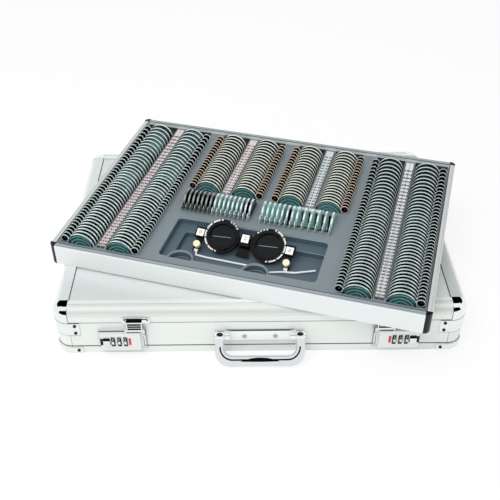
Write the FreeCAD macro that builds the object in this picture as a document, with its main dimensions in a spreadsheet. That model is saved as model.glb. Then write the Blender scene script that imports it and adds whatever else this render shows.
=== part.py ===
import FreeCAD, Part
import math
import os
import Sketcher

# Trial lens case: a closed aluminium case with its lens tray lying turned on the lid.
# Millimetres, +Z up, origin at the middle of the case's underside, front face towards -Y.

doc = FreeCAD.newDocument("TrialLensCase")
sheet = doc.addObject("Spreadsheet::Sheet", "dims")


class Size:
    """A dimension: its number together with the sheet formula that gives it."""

    def __init__(self, value, text):
        self.value = float(value)
        self.text = text

    def __add__(self, other):
        other = as_size(other)
        return Size(self.value + other.value, "(%s + %s)" % (self.text, other.text))

    def __sub__(self, other):
        other = as_size(other)
        return Size(self.value - other.value, "(%s - %s)" % (self.text, other.text))

    def __mul__(self, other):
        other = as_size(other)
        return Size(self.value * other.value, "(%s * %s)" % (self.text, other.text))

    def __truediv__(self, other):
        other = as_size(other)
        return Size(self.value / other.value, "(%s / %s)" % (self.text, other.text))

    def __radd__(self, other):
        return as_size(other) + self

    def __rsub__(self, other):
        return as_size(other) - self

    def __rmul__(self, other):
        return as_size(other) * self

    def __neg__(self):
        return Size(-self.value, "(0 - %s)" % self.text)


def as_size(number):
    if isinstance(number, Size):
        return number
    return Size(number, "%.6g" % number if number >= 0 else "(0 - %.6g)" % -number)


cells = []


def size(alias, value, note):
    """One driving dimension of the sheet."""
    cells.append(alias)
    row = len(cells)
    sheet.set("A%d" % row, note)
    sheet.set("B%d" % row, "%.6g" % value)
    sheet.setAlias("B%d" % row, alias)
    return Size(value, "dims.%s" % alias)


# Case shell
case_width = size("case_width", 530, "case, outside width")
case_depth = size("case_depth", 378, "case, outside depth")
case_height = size("case_height", 74.4, "case, height with the lid closed")
parting = size("parting_height", 53.3, "height of the line between base and lid")
wall = size("wall_thick", 11.5, "hollow profile wall of base and lid")
corner_r = size("corner_radius", 20, "plan radius of the case corners")
flange = size("flange_width", 19.9, "width of the lid frame seen from above")
flange_t = size("flange_thick", 1.6, "thickness of the lid frame's inner flange")
lid_round = size("lid_rounding", 11.4, "rounding of the lid's upper edge")
groove_z = size("groove_height", 11.6, "height of the groove along the base")
groove_w = size("groove_width", 1.4, "width of the groove along the base")
groove_d = size("groove_depth", 0.9, "depth of the groove along the base")
cap_proud = size("cap_proud", 0.8, "how far the lid's corner balls stand proud")
panel_t = size("panel_thick", 3, "thickness of bottom and lid panels")
lining_t = size("lining_thick", 3, "thickness of the foam on the case floor")
fit = size("fit_gap", 0.15, "gap round panels and skins that are let in")

# Corner clamps and rivets
clamp_t = size("clamp_thick", 0.8, "sheet of the corner clamps")
clamp_leg = size("clamp_leg", 14, "clamp leg beyond the corner's curve")
clamp_up = size("clamp_upper_height", 21, "height of the upper corner clamps")
clamp_low = size("clamp_lower_height", 9.5, "height of the lower corner clamps")
rivet_r = size("rivet_radius", 2.1, "radius of the clamp rivets")
rivet_h = size("rivet_rise", 0.9, "rise of the clamp rivets")
rivet_in = size("rivet_inset", 8, "clamp rivets beyond the corner's curve")

# Rear hinges
hinge_x = size("hinge_offset", 150, "rear hinges either side of the middle")
hinge_w = size("hinge_width", 54, "length of a rear hinge")
hinge_r = size("knuckle_radius", 3, "radius of the hinge knuckles")
hinge_out = size("knuckle_stand_off", 3.2, "hinge axis behind the case's back")
hinge_pin = size("hinge_pin_radius", 1.3, "radius of the hinge pins")
leaf_t = size("leaf_thick", 1.2, "sheet of the hinge leaves")
leaf_drop = size("leaf_drop", 16, "height of the base leaf")
run = size("running_gap", 0.05, "radial clearance of pins in their bores")
side = size("side_gap", 0.35, "side clearance between moving pieces")

# Combination locks
lock_in = size("lock_inset", 87.9, "middle of a lock from the case's end")
lock_x = case_width / 2 - lock_in
lock_w = size("lock_width", 60.8, "width of the lock's base plate")
lock_z = size("lock_height", 31, "height of the lock's base plate")
lock_low = size("lock_bottom", 10.5, "underside of the lock above the table")
lock_t = size("lock_plate_thick", 2, "thickness of the lock's base plate")
lock_d = size("lock_depth", 7.5, "how far the lock's housing stands out")
house_w = size("housing_width", 53, "width of the lock's raised housing")
dial_r = size("dial_radius", 8, "radius of a number wheel")
dial_w = size("dial_width", 4.4, "width of a number wheel")
dial_pitch = size("dial_pitch", 8, "spacing of the number wheels")
dial_z = size("dial_height", 26.5, "height of the wheels' axle")
dial_in = size("dial_set_back", 5, "wheel axle behind the housing's face")
dial_off = size("dial_offset", 3.9, "middle wheel outwards from the lock's middle")
dial_mid = lock_x + dial_off
axle_r = size("axle_radius", 1.5, "radius of the wheels' axle")
notch_r = size("notch_radius", 0.7, "radius of the wheels' finger notches")
button_w = size("button_width", 8.6, "width of the slide button")
button_h = size("button_height", 11, "height of the slide button")
button_off = size("button_offset", 20.3, "slide button outwards from the lock's middle")
button_x = lock_x + button_off
button_rise = size("button_rise", 2.2, "slide button above the housing's face")
button_go = size("button_travel", 3.4, "free way of the slide button")
recess_d = size("button_recess", 3, "depth of the slide button's window")
hasp_w = size("hasp_width", 20, "width of the hasp")
hasp_off = size("hasp_offset", 17.1, "hasp inwards from the lock's middle")
hasp_x = lock_x - hasp_off
hasp_t = size("hasp_thick", 3.7, "thickness of the hasp")
hasp_z = size("hasp_pivot_height", 44, "height of the hasp's pivot")
hasp_y = size("hasp_pivot_stand_off", 4.5, "hasp pivot in front of the case")
hasp_top = size("hasp_top", 60, "top of the hasp when closed")
hasp_pin = size("hasp_pin_radius", 1.1, "radius of the hasp's pin")
keep_w = size("keeper_width", 36, "width of the lid keeper")
keep_off = size("keeper_offset", 2.2, "lid keeper inwards from the hasp's middle")
keep_x = hasp_x - keep_off
keep_t = size("keeper_thick", 2.4, "thickness of the lid keeper")
keep_h = size("keeper_height", 8.4, "height of the lid keeper")

# Carrying handle
pivot_x = size("handle_half_span", 52, "handle arms from the middle")
pivot_y = size("handle_stand_off", 6, "handle pivot in front of the case")
pivot_z = size("handle_pivot_height", 34.2, "height of the handle's pivot")
arm_w = size("handle_arm_width", 11.4, "width of a handle arm")
bail_t = size("handle_thick", 7, "thickness of the handle")
bail_l = size("handle_drop", 39.4, "pivot to the handle's outer edge")
grip_w = size("handle_grip_width", 13.5, "width of the handle's grip bar")
eye_r = size("handle_eye_radius", 5, "radius of the handle's eyes")
pin_r = size("handle_pin_radius", 2.4, "radius of the handle's pins")
lean = size("handle_lean", 35.6, "handle leans out from hanging, degrees")
bracket_w = size("handle_bracket_width", 7, "width of a handle bracket")

# Lens tray, in its own axes: u along it, v across it, w up
tray_u = size("tray_length", 504.4, "tray, outside length")
tray_v = size("tray_breadth", 350.5, "tray, outside breadth")
tray_w = size("tray_height", 30, "tray, height of the walls")
tray_x = size("tray_middle_across", 11.96, "tray middle, to the right of the case's")
tray_y = size("tray_middle_back", 3.78, "tray middle, behind the case's")
tray_turn = size("tray_turn", -16.576, "tray turned on the lid, degrees")
tray_wall = size("tray_wall_thick", 8, "thickness of the tray's wall profile")
floor_t = size("tray_floor_thick", 2, "thickness of the tray's floor")
bed_top = size("bed_height", 25, "top of the moulded beds above the tray's base")

# Trial lenses
ring_r = size("ring_radius", 19, "outside radius of a lens ring")
bore_r = size("ring_bore", 17.5, "inside radius of a lens ring")
ring_t = size("ring_thick", 2.4, "thickness of a lens ring")
glass_t = size("glass_thick", 1.6, "thickness of a lens")
tab_r = size("tab_radius", 5.3, "radius of a ring's tab")
tab_at = size("tab_reach", 24.4, "tab centre from the lens centre")
tab_up = size("tab_rise", 20, "tab above the horizontal, degrees")
tab_t = size("tab_thick", 1.2, "thickness of a tab")
lens_w = size("lens_height", 23, "lens centres above the tray's base")
seat = size("seat_gap", 0.3, "lens ring to the bottom of its groove")
slot_gap = size("slot_gap", 0.35, "lens ring to each side of its groove")
rib_r = size("rib_bore", 16.2, "radius of the bed between the grooves")
col_a = size("column_outer", 213.5, "outer lens columns from the tray's middle")
col_b = size("column_inner", 158.5, "next lens columns")
col_c = size("column_short_outer", 89.5, "outer short columns")
col_d = size("column_short_inner", 34.5, "inner short columns")
long_first = size("long_first", -157, "front lens of a long column")
long_step = size("long_step", 6.6, "smallest spacing in a long column")
long_grow = size("long_growth", 42, "what thicker lenses add over a long column")
long_count = size("long_count", 40, "lenses in a long column")
short_first = size("short_first", 8, "front lens of a short column")
short_step = size("short_step", 7, "smallest spacing in a short column")
short_grow = size("short_growth", 9, "what thicker lenses add over a short column")
short_count = size("short_count", 19, "lenses in a short column")
cross_v = size("cross_middle", -22, "lens centres of the cross rows")
cross_left = size("cross_left_first", -109.5, "left end of the left cross row")
cross_step = size("cross_left_step", 6.4, "spacing of the left cross row")
cross_count = size("cross_left_count", 16, "pieces in the left cross row")
right_first = size("cross_right_first", 4.5, "left end of the right cross row")
right_step = size("cross_right_step", 7, "spacing of the right row's thin lenses")
right_thin = size("cross_right_thin", 8, "thin lenses in the right cross row")
prism_step = size("prism_step", 9.6, "spacing of the prisms")
prism_count = size("prism_count", 5, "prisms in the right cross row")

# Moulded beds and the well for the trial frame
bed_left = size("bed_split_left", -127, "seam between left bed and middle")
bed_right = size("bed_split_right", 122, "seam between middle and right bed")
well_back = size("well_seam", -58, "seam between the lens beds and the well")
well_u0 = size("well_left", -108, "left edge of the well")
well_u1 = size("well_right", 105, "right edge of the well")
well_v0 = size("well_front", -148, "front edge of the well")
well_v1 = size("well_rear", -62, "rear edge of the well")
shelf_w = size("shelf_height", 15, "height of the well's shelf")
mat_t = size("well_mat_thick", 5, "thickness of the mat on the well's floor")
deep_w = floor_t + mat_t
deep_u0 = size("deep_left", -93, "left edge of the deep part")
deep_v1 = size("deep_rear", -78.5, "rear edge of the deep part")
boss_r = size("boss_radius", 17.5, "radius of the half-round finger cups")
boss_t = size("boss_wall", 1.6, "wall of the finger cups")
boss_a = size("boss_left", -77, "left finger cup")
boss_b = size("boss_right", 25, "right finger cup")
well_round = size("well_rounding", 6, "corner rounding of the well")

# Label strips
strip_w = size("strip_width", 13, "width of a label strip")
strip_t = size("strip_thick", 1, "thickness of a label strip")
strip_edge = size("strip_edge", 0.8, "width of a strip's raised edge")
strip_rise = size("strip_rise", 0.6, "rise of a strip's raised edge")
strip_back = size("strip_rear", 162, "rear end of the strips")
strip_front = size("strip_front", -152, "front end of the long strips")
strip_mid = size("strip_middle_front", 8, "front end of the short strips")

# Trial frame, in its own axes: x across the face, y up the face, z out of the face
tf_u = size("frame_across", -3.5, "bridge of the trial frame along the tray")
tf_v = size("frame_back", -93, "bridge of the trial frame across the tray")
tf_w = size("frame_height", 27, "bridge of the trial frame above the tray's base")
tf_tilt = size("frame_tilt", 32, "trial frame leans up from flat, degrees")
tf_roll = size("frame_roll", -2, "trial frame turned in its own plane, degrees")
cell_x = size("cell_offset", 32.5, "eye centres from the bridge")
hold_r = size("holder_radius", 24, "outside radius of a lens holder")
hold_b = size("holder_bore", 21.2, "inside radius of a lens holder")
hold_t = size("holder_thick", 6, "thickness of a lens holder")
rotor_r = size("rotor_radius", 20.8, "outside radius of a turning cell")
rotor_b = size("rotor_bore", 16.6, "inside radius of a turning cell")
bar_h = size("bar_height", 6, "height of the bridge bar")
bar_t = size("bar_thick", 4, "thickness of the bridge bar")
bar_l = size("bar_length", 120, "length of the bridge bar")
bar_z = size("bar_depth", 9, "back of the bridge bar behind the face")
scale_t = size("scale_thick", 0.5, "thickness of the degree scales")
block_x = size("block_offset", 62.5, "side blocks from the bridge")
knob_r = size("knob_radius", 4.6, "radius of the tilt knobs")
knob_y = size("knob_drop", 19, "tilt knobs below the eye line")
tube_r = size("temple_radius", 1.4, "radius of the temple tubes")
tube_gap = size("temple_gap", 0.2, "temple tubes above the well's floor")

doc.recompute()
nodes = []


def read(amount):
    """A size as the sheet has it at present, for the shapes set by the script."""
    found = sheet.evalExpression(amount.text)
    return float(getattr(found, "Value", found))


def bind(obj, path, amount):
    amount = as_size(amount)
    obj.setExpression(path, amount.text)


def put(obj, x=0, y=0, z=0):
    for axis, amount in (("x", x), ("y", y), ("z", z)):
        bind(obj, "Placement.Base." + axis, amount)
    return obj


def node(label, obj):
    obj.Label = label
    nodes.append(obj)
    return obj


def box(name, x, y, z, dx, dy, dz):
    obj = doc.addObject("Part::Box", name)
    bind(obj, "Length", dx)
    bind(obj, "Width", dy)
    bind(obj, "Height", dz)
    return put(obj, x, y, z)


AXES = {"x": FreeCAD.Rotation(FreeCAD.Vector(0, 1, 0), 90),
        "y": FreeCAD.Rotation(FreeCAD.Vector(1, 0, 0), -90),
        "z": FreeCAD.Rotation()}


def rod(name, x, y, z, radius, length, axis="z", angle=None):
    """A cylinder that starts at a point and runs along +x, +y or +z."""
    obj = doc.addObject("Part::Cylinder", name)
    obj.Placement.Rotation = AXES[axis]
    bind(obj, "Radius", radius)
    bind(obj, "Height", length)
    if angle is not None:
        obj.Angle = angle
    return put(obj, x, y, z)


def fuse(name, parts):
    obj = doc.addObject("Part::MultiFuse", name)
    obj.Shapes = parts
    obj.Refine = True
    return obj


def cut(name, base, tool):
    obj = doc.addObject("Part::Cut", name)
    obj.Base = base
    obj.Tool = tool
    return obj


def together(name, parts):
    obj = doc.addObject("Part::Compound", name)
    obj.Links = parts
    return obj


def mirror(name, source, normal):
    obj = doc.addObject("Part::Mirroring", name)
    obj.Source = source
    obj.Normal = normal
    return obj


SIDEWAYS = FreeCAD.Vector(1, 0, 0)
BACKWARDS = FreeCAD.Vector(0, 1, 0)


def pair(name, source, normal=SIDEWAYS):
    return [source, mirror(name + "Twin", source, normal)]


def four(name, source):
    """One corner piece and its three mirror images."""
    twin = mirror(name + "Across", source, SIDEWAYS)
    return [source, twin, mirror(name + "Rear", source, BACKWARDS),
            mirror(name + "RearAcross", twin, BACKWARDS)]


def outline(sketch, points):
    """A closed outline whose corners are held by sheet-bound distances."""
    points = [(as_size(a), as_size(b)) for a, b in points]
    count = len(points)
    for i in range(count):
        a = points[i]
        b = points[(i + 1) % count]
        sketch.addGeometry(Part.LineSegment(FreeCAD.Vector(a[0].value, a[1].value, 0),
                                            FreeCAD.Vector(b[0].value, b[1].value, 0)), False)
    for i in range(count):
        sketch.addConstraint(Sketcher.Constraint("Coincident", i, 2, (i + 1) % count, 1))
    for i, point in enumerate(points):
        for kind, axis, amount in (("DistanceX", -2, point[0]), ("DistanceY", -1, point[1])):
            if amount.text == "0":
                sketch.addConstraint(Sketcher.Constraint("PointOnObject", i, 1, axis))
                continue
            index = sketch.addConstraint(Sketcher.Constraint(kind, -1, 1, i, 1, amount.value))
            sketch.setExpression("Constraints[%d]" % index, amount.text)


def body_sketch(name, plane):
    body = doc.addObject("PartDesign::Body", name)
    sketch = body.newObject("Sketcher::SketchObject", name + "Sketch")
    for feature in body.Origin.OriginFeatures:
        if feature.Role == plane:
            sketch.AttachmentSupport = [(feature, "")]
    sketch.MapMode = "FlatFace"
    return body, sketch


def pad(body, sketch, length):
    feature = body.newObject("PartDesign::Pad", body.Name + "Pad")
    feature.Profile = sketch
    bind(feature, "Length", length)
    body.Tip = feature
    return feature


def middle(edge):
    return edge.valueAt((edge.FirstParameter + edge.LastParameter) / 2)


def along(edge, axis):
    first = edge.valueAt(edge.FirstParameter)
    last = edge.valueAt(edge.LastParameter)
    step = last - first
    return abs(abs(getattr(step, axis)) - step.Length) < 1e-6 and step.Length > 1e-6


def soften(body, feature, radius, wanted):
    doc.recompute()
    edges = ["Edge%d" % (i + 1) for i, e in enumerate(feature.Shape.Edges) if wanted(e)]
    rounding = body.newObject("PartDesign::Fillet", body.Name + "Round")
    rounding.Base = (feature, edges)
    bind(rounding, "Radius", radius)
    body.Tip = rounding
    return rounding


def slab(name, x, y, z, dx, dy, dz, radius=None, axis="z", wanted=None):
    """A rectangular block, padded along one axis, with its corners rounded."""
    plane = {"z": "XY_Plane", "y": "XZ_Plane", "x": "YZ_Plane"}[axis]
    body, sketch = body_sketch(name, plane)
    wide, tall, long = {"z": (dx, dy, dz), "y": (dx, dz, dy), "x": (dy, dz, dx)}[axis]
    outline(sketch, [(0, 0), (wide, 0), (wide, tall), (0, tall)])
    feature = pad(body, sketch, long)
    if radius is not None:
        soften(body, feature, radius, wanted or (lambda e: along(e, axis)))
    put(body, x, as_size(y) + dy if axis == "y" else y, z)
    return body


# Case shell
half_x = case_width / 2
half_y = case_depth / 2
long_rail = case_width - 2 * corner_r
short_rail = case_depth - 2 * corner_r


def rail(name, points, length, turn, x, y, roundings=None):
    """A straight length of profile; the section's first axis runs inwards."""
    body, sketch = body_sketch(name, "YZ_Plane")
    outline(sketch, points)
    feature = pad(body, sketch, length)
    if roundings is not None:
        soften(body, feature, *roundings)
    body.Placement.Rotation = FreeCAD.Rotation(FreeCAD.Vector(0, 0, 1), turn)
    put(body, x, y, 0)
    return body


def quarter(name, points, roundings=None):
    """The same section swept a quarter turn round the rear right corner."""
    body, sketch = body_sketch(name, "XZ_Plane")
    outline(sketch, points)
    feature = body.newObject("PartDesign::Revolution", name + "Turn")
    feature.Profile = sketch
    feature.ReferenceAxis = (sketch, ["V_Axis"])
    feature.Angle = 90
    body.Tip = feature
    doc.recompute()
    if feature.Shape.BoundBox.YMin < -1:
        feature.Reversed = True
    doc.recompute()
    if roundings is not None:
        soften(body, feature, *roundings)
    put(body, half_x - corner_r, half_y - corner_r, 0)
    return body


base_section = [(0, 0), (wall, 0), (wall, parting), (0, parting), (0, groove_z + groove_w),
                (groove_d, groove_z + groove_w), (groove_d, groove_z), (0, groove_z)]
base_front = rail("BaseFront", base_section, long_rail, 0, -(long_rail / 2), -half_y)
base_back = rail("BaseBack", base_section, long_rail, 180, long_rail / 2, half_y)
base_left = rail("BaseLeft", base_section, short_rail, -90, -half_x, short_rail / 2)
base_right = rail("BaseRight", base_section, short_rail, 90, half_x, -(short_rail / 2))

# The number wheels turn in a shallow pocket behind each lock
pocket_w = 2 * dial_pitch + dial_w + 2.4
pocket_d = dial_r - dial_in + (dial_in - lock_d) + dial_in + 1.2
pocket = box("DialPocket", -dial_mid - pocket_w / 2, -half_y - 1, dial_z - dial_r - 0.8,
             pocket_w, pocket_d, 2 * dial_r + 1.6)
front_rail = cut("BaseFrontPocketed", base_front, together("DialPockets", pair("DialPocket", pocket)))
node("base_rails", together("BaseRails", [front_rail, base_back, base_left, base_right]))

post = quarter("BasePost", [(corner_r - wall, 0), (corner_r, 0), (corner_r, groove_z),
                            (corner_r - groove_d, groove_z), (corner_r - groove_d, groove_z + groove_w),
                            (corner_r, groove_z + groove_w), (corner_r, parting),
                            (corner_r - wall, parting)])
node("base_corner_posts", together("BasePosts", four("BasePost", post)))

inner_x = case_width - 2 * wall - 2 * fit
inner_y = case_depth - 2 * wall - 2 * fit
inner_r = corner_r - wall


def let_in(name, z, thickness):
    return slab(name, -(inner_x / 2), -(inner_y / 2), z, inner_x, inner_y, thickness, inner_r)


node("base_bottom_panel", let_in("BottomPanel", 0, panel_t))
node("base_lining", let_in("FloorFoam", panel_t, lining_t))


def clamp(name, z, height):
    """Sheet bent round a corner: two flat legs and the curve between them."""
    cx = half_x - corner_r
    cy = half_y - corner_r
    outer = corner_r + fit + clamp_t
    curve = cut(name + "Curve", rod(name + "Out", cx, cy, z, outer, height, "z", 90),
                rod(name + "In", cx, cy, z - 1, corner_r + fit, height + 2, "z", 90))
    leg_x = box(name + "LegX", cx - clamp_leg, half_y + fit, z, clamp_leg, clamp_t, height)
    leg_y = box(name + "LegY", half_x + fit, cy - clamp_leg, z, clamp_t, clamp_leg, height)
    return fuse(name, [curve, leg_x, leg_y])


upper = clamp("UpperClamp", parting - clamp_up - 0.3, clamp_up)
lower = clamp("LowerClamp", 0.2, clamp_low)
node("base_corner_clamps", together("CornerClamps", four("UpperClamp", upper) + four("LowerClamp", lower)))

rivets = []
rivet_face = fit + clamp_t
for i, height in enumerate((parting - 5, parting - 17, groove_z / 2 - 0.8)):
    across = rod("RivetBack%d" % i, half_x - corner_r - rivet_in, half_y + rivet_face, height,
                 rivet_r, rivet_h, "y")
    beside = rod("RivetSide%d" % i, half_x + rivet_face, half_y - corner_r - rivet_in, height,
                 rivet_r, rivet_h, "x")
    rivets += four("RivetBack%d" % i, across) + four("RivetSide%d" % i, beside)
node("base_rivets", together("CornerRivets", rivets))

# Lid
lid_section = [(0, parting), (wall, parting), (wall, case_height - flange_t),
               (flange, case_height - flange_t), (flange, case_height), (0, case_height)]


def upper_edge(edge):
    spot = middle(edge)
    return along(edge, "x") and abs(spot.y) < 1e-6 and abs(spot.z - case_height.value) < 1e-6


lid_long = rail("LidFront", lid_section, long_rail, 0, -(long_rail / 2), -half_y,
                (lid_round, upper_edge))
lid_short = rail("LidLeft", lid_section, short_rail, -90, -half_x, short_rail / 2,
                 (lid_round, upper_edge))
node("lid_rails", together("LidRails", pair("LidLong", lid_long, BACKWARDS)
                           + pair("LidShort", lid_short)))

ball_r = corner_r + cap_proud
ball_top = case_height + cap_proud / 2


def ball_edge(edge):
    spot = middle(edge)
    away = math.hypot(spot.x, spot.y)
    return abs(away - ball_r.value) < 1e-4 and abs(spot.z - ball_top.value) < 1e-4


ball = quarter("LidBall", [(corner_r - wall, parting), (ball_r, parting), (ball_r, ball_top),
                           (0, ball_top), (0, case_height - flange_t),
                           (corner_r - wall, case_height - flange_t)], (lid_round + 0.6, ball_edge))
node("lid_corner_caps", together("LidBalls", four("LidBall", ball)))
node("lid_top_panel", let_in("LidPanel", case_height - flange_t - panel_t, panel_t))

# Rear hinges: base leaf with two outer knuckles and the pin, lid leaf with the middle knuckle
axis_y = half_y + hinge_out
third = hinge_w / 3
clear = hinge_r + 0.45


def hinge_start(sign):
    return sign * hinge_x - hinge_w / 2


base_hinges = []
lid_hinges = []
for tag, sign in (("L", -1), ("R", 1)):
    x0 = hinge_start(sign)
    leaf = box("BaseLeaf" + tag, x0, half_y, parting - leaf_drop, hinge_w, leaf_t,
               leaf_drop - clear)
    outer = []
    for k in (0, 2):
        outer.append(rod("BaseKnuckle%s%d" % (tag, k), x0 + third * k, axis_y, parting, hinge_r, third, "x"))
        outer.append(box("BaseWeb%s%d" % (tag, k), x0 + third * k, half_y, parting - clear - 1,
                         third, leaf_t, clear + 1))
    bore = rod("BaseBore" + tag, x0 - 1, axis_y, parting, hinge_pin, hinge_w + 2, "x")
    half = cut("BaseHalf" + tag, fuse("BaseHinge" + tag, [leaf] + outer), bore)
    pin = rod("HingePin" + tag, x0, axis_y, parting, hinge_pin - run, hinge_w, "x")
    base_hinges += [half, pin]
    mid_x = x0 + third + side
    mid_l = third - 2 * side
    lid_leaf = box("LidLeaf" + tag, x0, half_y, parting + clear, hinge_w, leaf_t, 5.6)
    lid_web = box("LidWeb" + tag, mid_x, half_y, parting, mid_l, leaf_t, clear + 1)
    knuckle = rod("LidKnuckle" + tag, mid_x, axis_y, parting, hinge_r, mid_l, "x")
    lid_bore = rod("LidBore" + tag, mid_x - 1, axis_y, parting, hinge_pin, mid_l + 2, "x")
    lid_hinges.append(cut("LidHalf" + tag, fuse("LidHinge" + tag, [lid_leaf, lid_web, knuckle]), lid_bore))
node("hinge_base_leaves", together("BaseHinges", base_hinges))
node("hinge_lid_leaves", together("LidHinges", lid_hinges))

# Locks
plate_x = -lock_x - lock_w / 2
house = slab("Housing", plate_x + 1.2, -half_y - lock_d, lock_low + 0.6, house_w, lock_d,
             lock_z - 1.2, 2)
base_plate = box("LockPlate", plate_x, -half_y - lock_t, lock_low, lock_w, lock_t, lock_z)
slots = []
slot_w = dial_w + 2 * side
for k in (-1, 0, 1):
    slots.append(box("DialSlot%d" % (k + 1), -dial_mid + k * dial_pitch - slot_w / 2,
                     -half_y - lock_d - 1, dial_z - dial_r - 0.4, slot_w, lock_d + 2, 2 * dial_r + 0.8))
window_w = button_w + button_go + 2 * side
window = box("ButtonWindow", -button_x - button_w / 2 - button_go - side, -half_y - lock_d - 1,
             dial_z - button_h / 2 - side, window_w, recess_d + 1, button_h + 2 * side)
axle_y = -half_y - lock_d + dial_in
axle_l = 2 * dial_pitch + slot_w + 2
axle = rod("DialAxle", -dial_mid - axle_l / 2, axle_y, dial_z, axle_r, axle_l, "x")
lugs = []
pin_y = -half_y - hasp_y
lug_w = 2.6
for tag, x in (("A", -hasp_x - hasp_w / 2 - side - lug_w), ("B", -hasp_x + hasp_w / 2 + side)):
    lugs.append(box("HaspLug" + tag, x, -half_y - lock_d + 1, lock_low + lock_z - 6, lug_w,
                    lock_d - 1, hasp_z - lock_low - lock_z + 8.4))
hasp_rod = rod("HaspPin", -hasp_x - hasp_w / 2 - side - lug_w, pin_y, hasp_z, hasp_pin,
               hasp_w + 2 * side + 2 * lug_w, "x")
hollow = cut("HousingCut", fuse("HousingOnPlate", [house, base_plate]),
             fuse("HousingHollows", slots + [window]))
lock_left = fuse("LockLeft", [hollow, axle, hasp_rod] + lugs)
node("lock_body_left", lock_left)
node("lock_body_right", mirror("LockRight", lock_left, SIDEWAYS))

mark = box("LockMark", -dial_mid + dial_pitch + slot_w / 2 + 1.7, -half_y - lock_d - 0.5,
           dial_z - 5.6, 2.8, 0.5, 11.6)
node("lock_markers", together("LockMarks", pair("LockMark", mark)))


def dial(name, x):
    """A number wheel with ten finger notches, turning on the lock's axle."""
    body, sketch = body_sketch(name, "YZ_Plane")
    sketch.addGeometry(Part.Circle(FreeCAD.Vector(0, 0, 0), FreeCAD.Vector(0, 0, 1), dial_r.value), False)
    sketch.addConstraint(Sketcher.Constraint("Coincident", 0, 3, -1, 1))
    index = sketch.addConstraint(Sketcher.Constraint("Radius", 0, dial_r.value))
    sketch.setExpression("Constraints[%d]" % index, dial_r.text)
    bore = axle_r + run
    sketch.addGeometry(Part.Circle(FreeCAD.Vector(0, 0, 0), FreeCAD.Vector(0, 0, 1), bore.value), False)
    sketch.addConstraint(Sketcher.Constraint("Coincident", 1, 3, -1, 1))
    index = sketch.addConstraint(Sketcher.Constraint("Radius", 1, bore.value))
    sketch.setExpression("Constraints[%d]" % index, bore.text)
    wheel = pad(body, sketch, dial_w)
    doc.recompute()
    notch = body.newObject("Sketcher::SketchObject", name + "Notch")
    for feature in body.Origin.OriginFeatures:
        if feature.Role == "YZ_Plane":
            notch.AttachmentSupport = [(feature, "")]
    notch.MapMode = "FlatFace"
    notch.addGeometry(Part.Circle(FreeCAD.Vector(0, dial_r.value, 0), FreeCAD.Vector(0, 0, 1),
                                  notch_r.value), False)
    notch.addConstraint(Sketcher.Constraint("PointOnObject", 0, 3, -2))
    index = notch.addConstraint(Sketcher.Constraint("DistanceY", -1, 1, 0, 3, dial_r.value))
    notch.setExpression("Constraints[%d]" % index, dial_r.text)
    index = notch.addConstraint(Sketcher.Constraint("Radius", 0, notch_r.value))
    notch.setExpression("Constraints[%d]" % index, notch_r.text)
    groove = body.newObject("PartDesign::Pocket", name + "Groove")
    groove.Profile = notch
    groove.Type = "ThroughAll"
    doc.recompute()
    if abs(groove.Shape.Volume - wheel.Shape.Volume) < 0.1:
        groove.Reversed = True
    ring = body.newObject("PartDesign::PolarPattern", name + "Notches")
    ring.Originals = [groove]
    ring.Axis = (sketch, ["N_Axis"])
    ring.Angle = 360
    ring.Occurrences = 10
    body.Tip = ring
    put(body, x - dial_w / 2, axle_y, dial_z)
    return body


for k in (-1, 0, 1):
    left_dial = dial("DialLeft%d" % (k + 2), -dial_mid + k * dial_pitch)
    node("dial_left_%d" % (k + 2), left_dial)
for k in (-1, 0, 1):
    right_dial = dial("DialRight%d" % (k + 2), dial_mid + k * dial_pitch)
    node("dial_right_%d" % (k + 2), right_dial)

knob_low = -half_y - lock_d + recess_d
button = slab("ButtonSlide", -button_x - button_w / 2, knob_low - recess_d - button_rise,
              dial_z - button_h / 2, button_w, recess_d + button_rise, button_h, 1.2, "y")
node("button_left", button)
node("button_right", mirror("ButtonRight", button, SIDEWAYS))

# The hasp stands in front of the keeper and swings forward on the lock's pin
barrel_r = hasp_t - 1.6
flap_y = pin_y - barrel_r
flap = slab("HaspFlap", -hasp_x - hasp_w / 2, flap_y, hasp_z, hasp_w, hasp_t, hasp_top - hasp_z,
            1.4, "z", lambda e: along(e, "x") and middle(e).z > 1 and middle(e).y < 0.5)
barrel = rod("HaspBarrel", -hasp_x - hasp_w / 2, pin_y, hasp_z, barrel_r, hasp_w, "x")
hasp_cuts = [rod("HaspBore", -hasp_x - hasp_w / 2 - 1, pin_y, hasp_z, hasp_pin + run, hasp_w + 2, "x")]
for k in (0, 1, 2):
    hasp_cuts.append(box("HaspGroove%d" % k, -hasp_x - hasp_w / 2 + 1.2, flap_y - 1,
                         hasp_z + 3 + 3.8 * k, hasp_w - 2.4, 1.7, 1.9))
hasp = cut("HaspLeft", fuse("HaspWhole", [flap, barrel]), fuse("HaspHollows", hasp_cuts))
node("hasp_left", hasp)
node("hasp_right", mirror("HaspRight", hasp, SIDEWAYS))

keeper_z = parting + 0.8
keeper_plate = slab("KeeperPlate", -keep_x - keep_w / 2, -half_y - keep_t, keeper_z, keep_w, keep_t,
                    keep_h, 2.5, "y")
keeper_lip = box("KeeperLip", -hasp_x - hasp_w / 2 + 1, -half_y - keep_t - 3.6, hasp_top + 0.4,
                 hasp_w - 2, 3.6, keeper_z + keep_h - hasp_top - 1.2)
keeper_parts = [keeper_plate, keeper_lip]
for k, x in enumerate((-keep_x - keep_w / 2 + 3.6, -keep_x + keep_w / 2 - 3.6)):
    keeper_parts.append(rod("KeeperRivet%d" % k, x, -half_y - keep_t - 0.8, keeper_z + 3.4, 1.6, 0.8, "y"))
keepers = []
for part in keeper_parts:
    keepers += pair(part.Name, part)
node("lid_keepers", together("Keepers", keepers))

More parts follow.
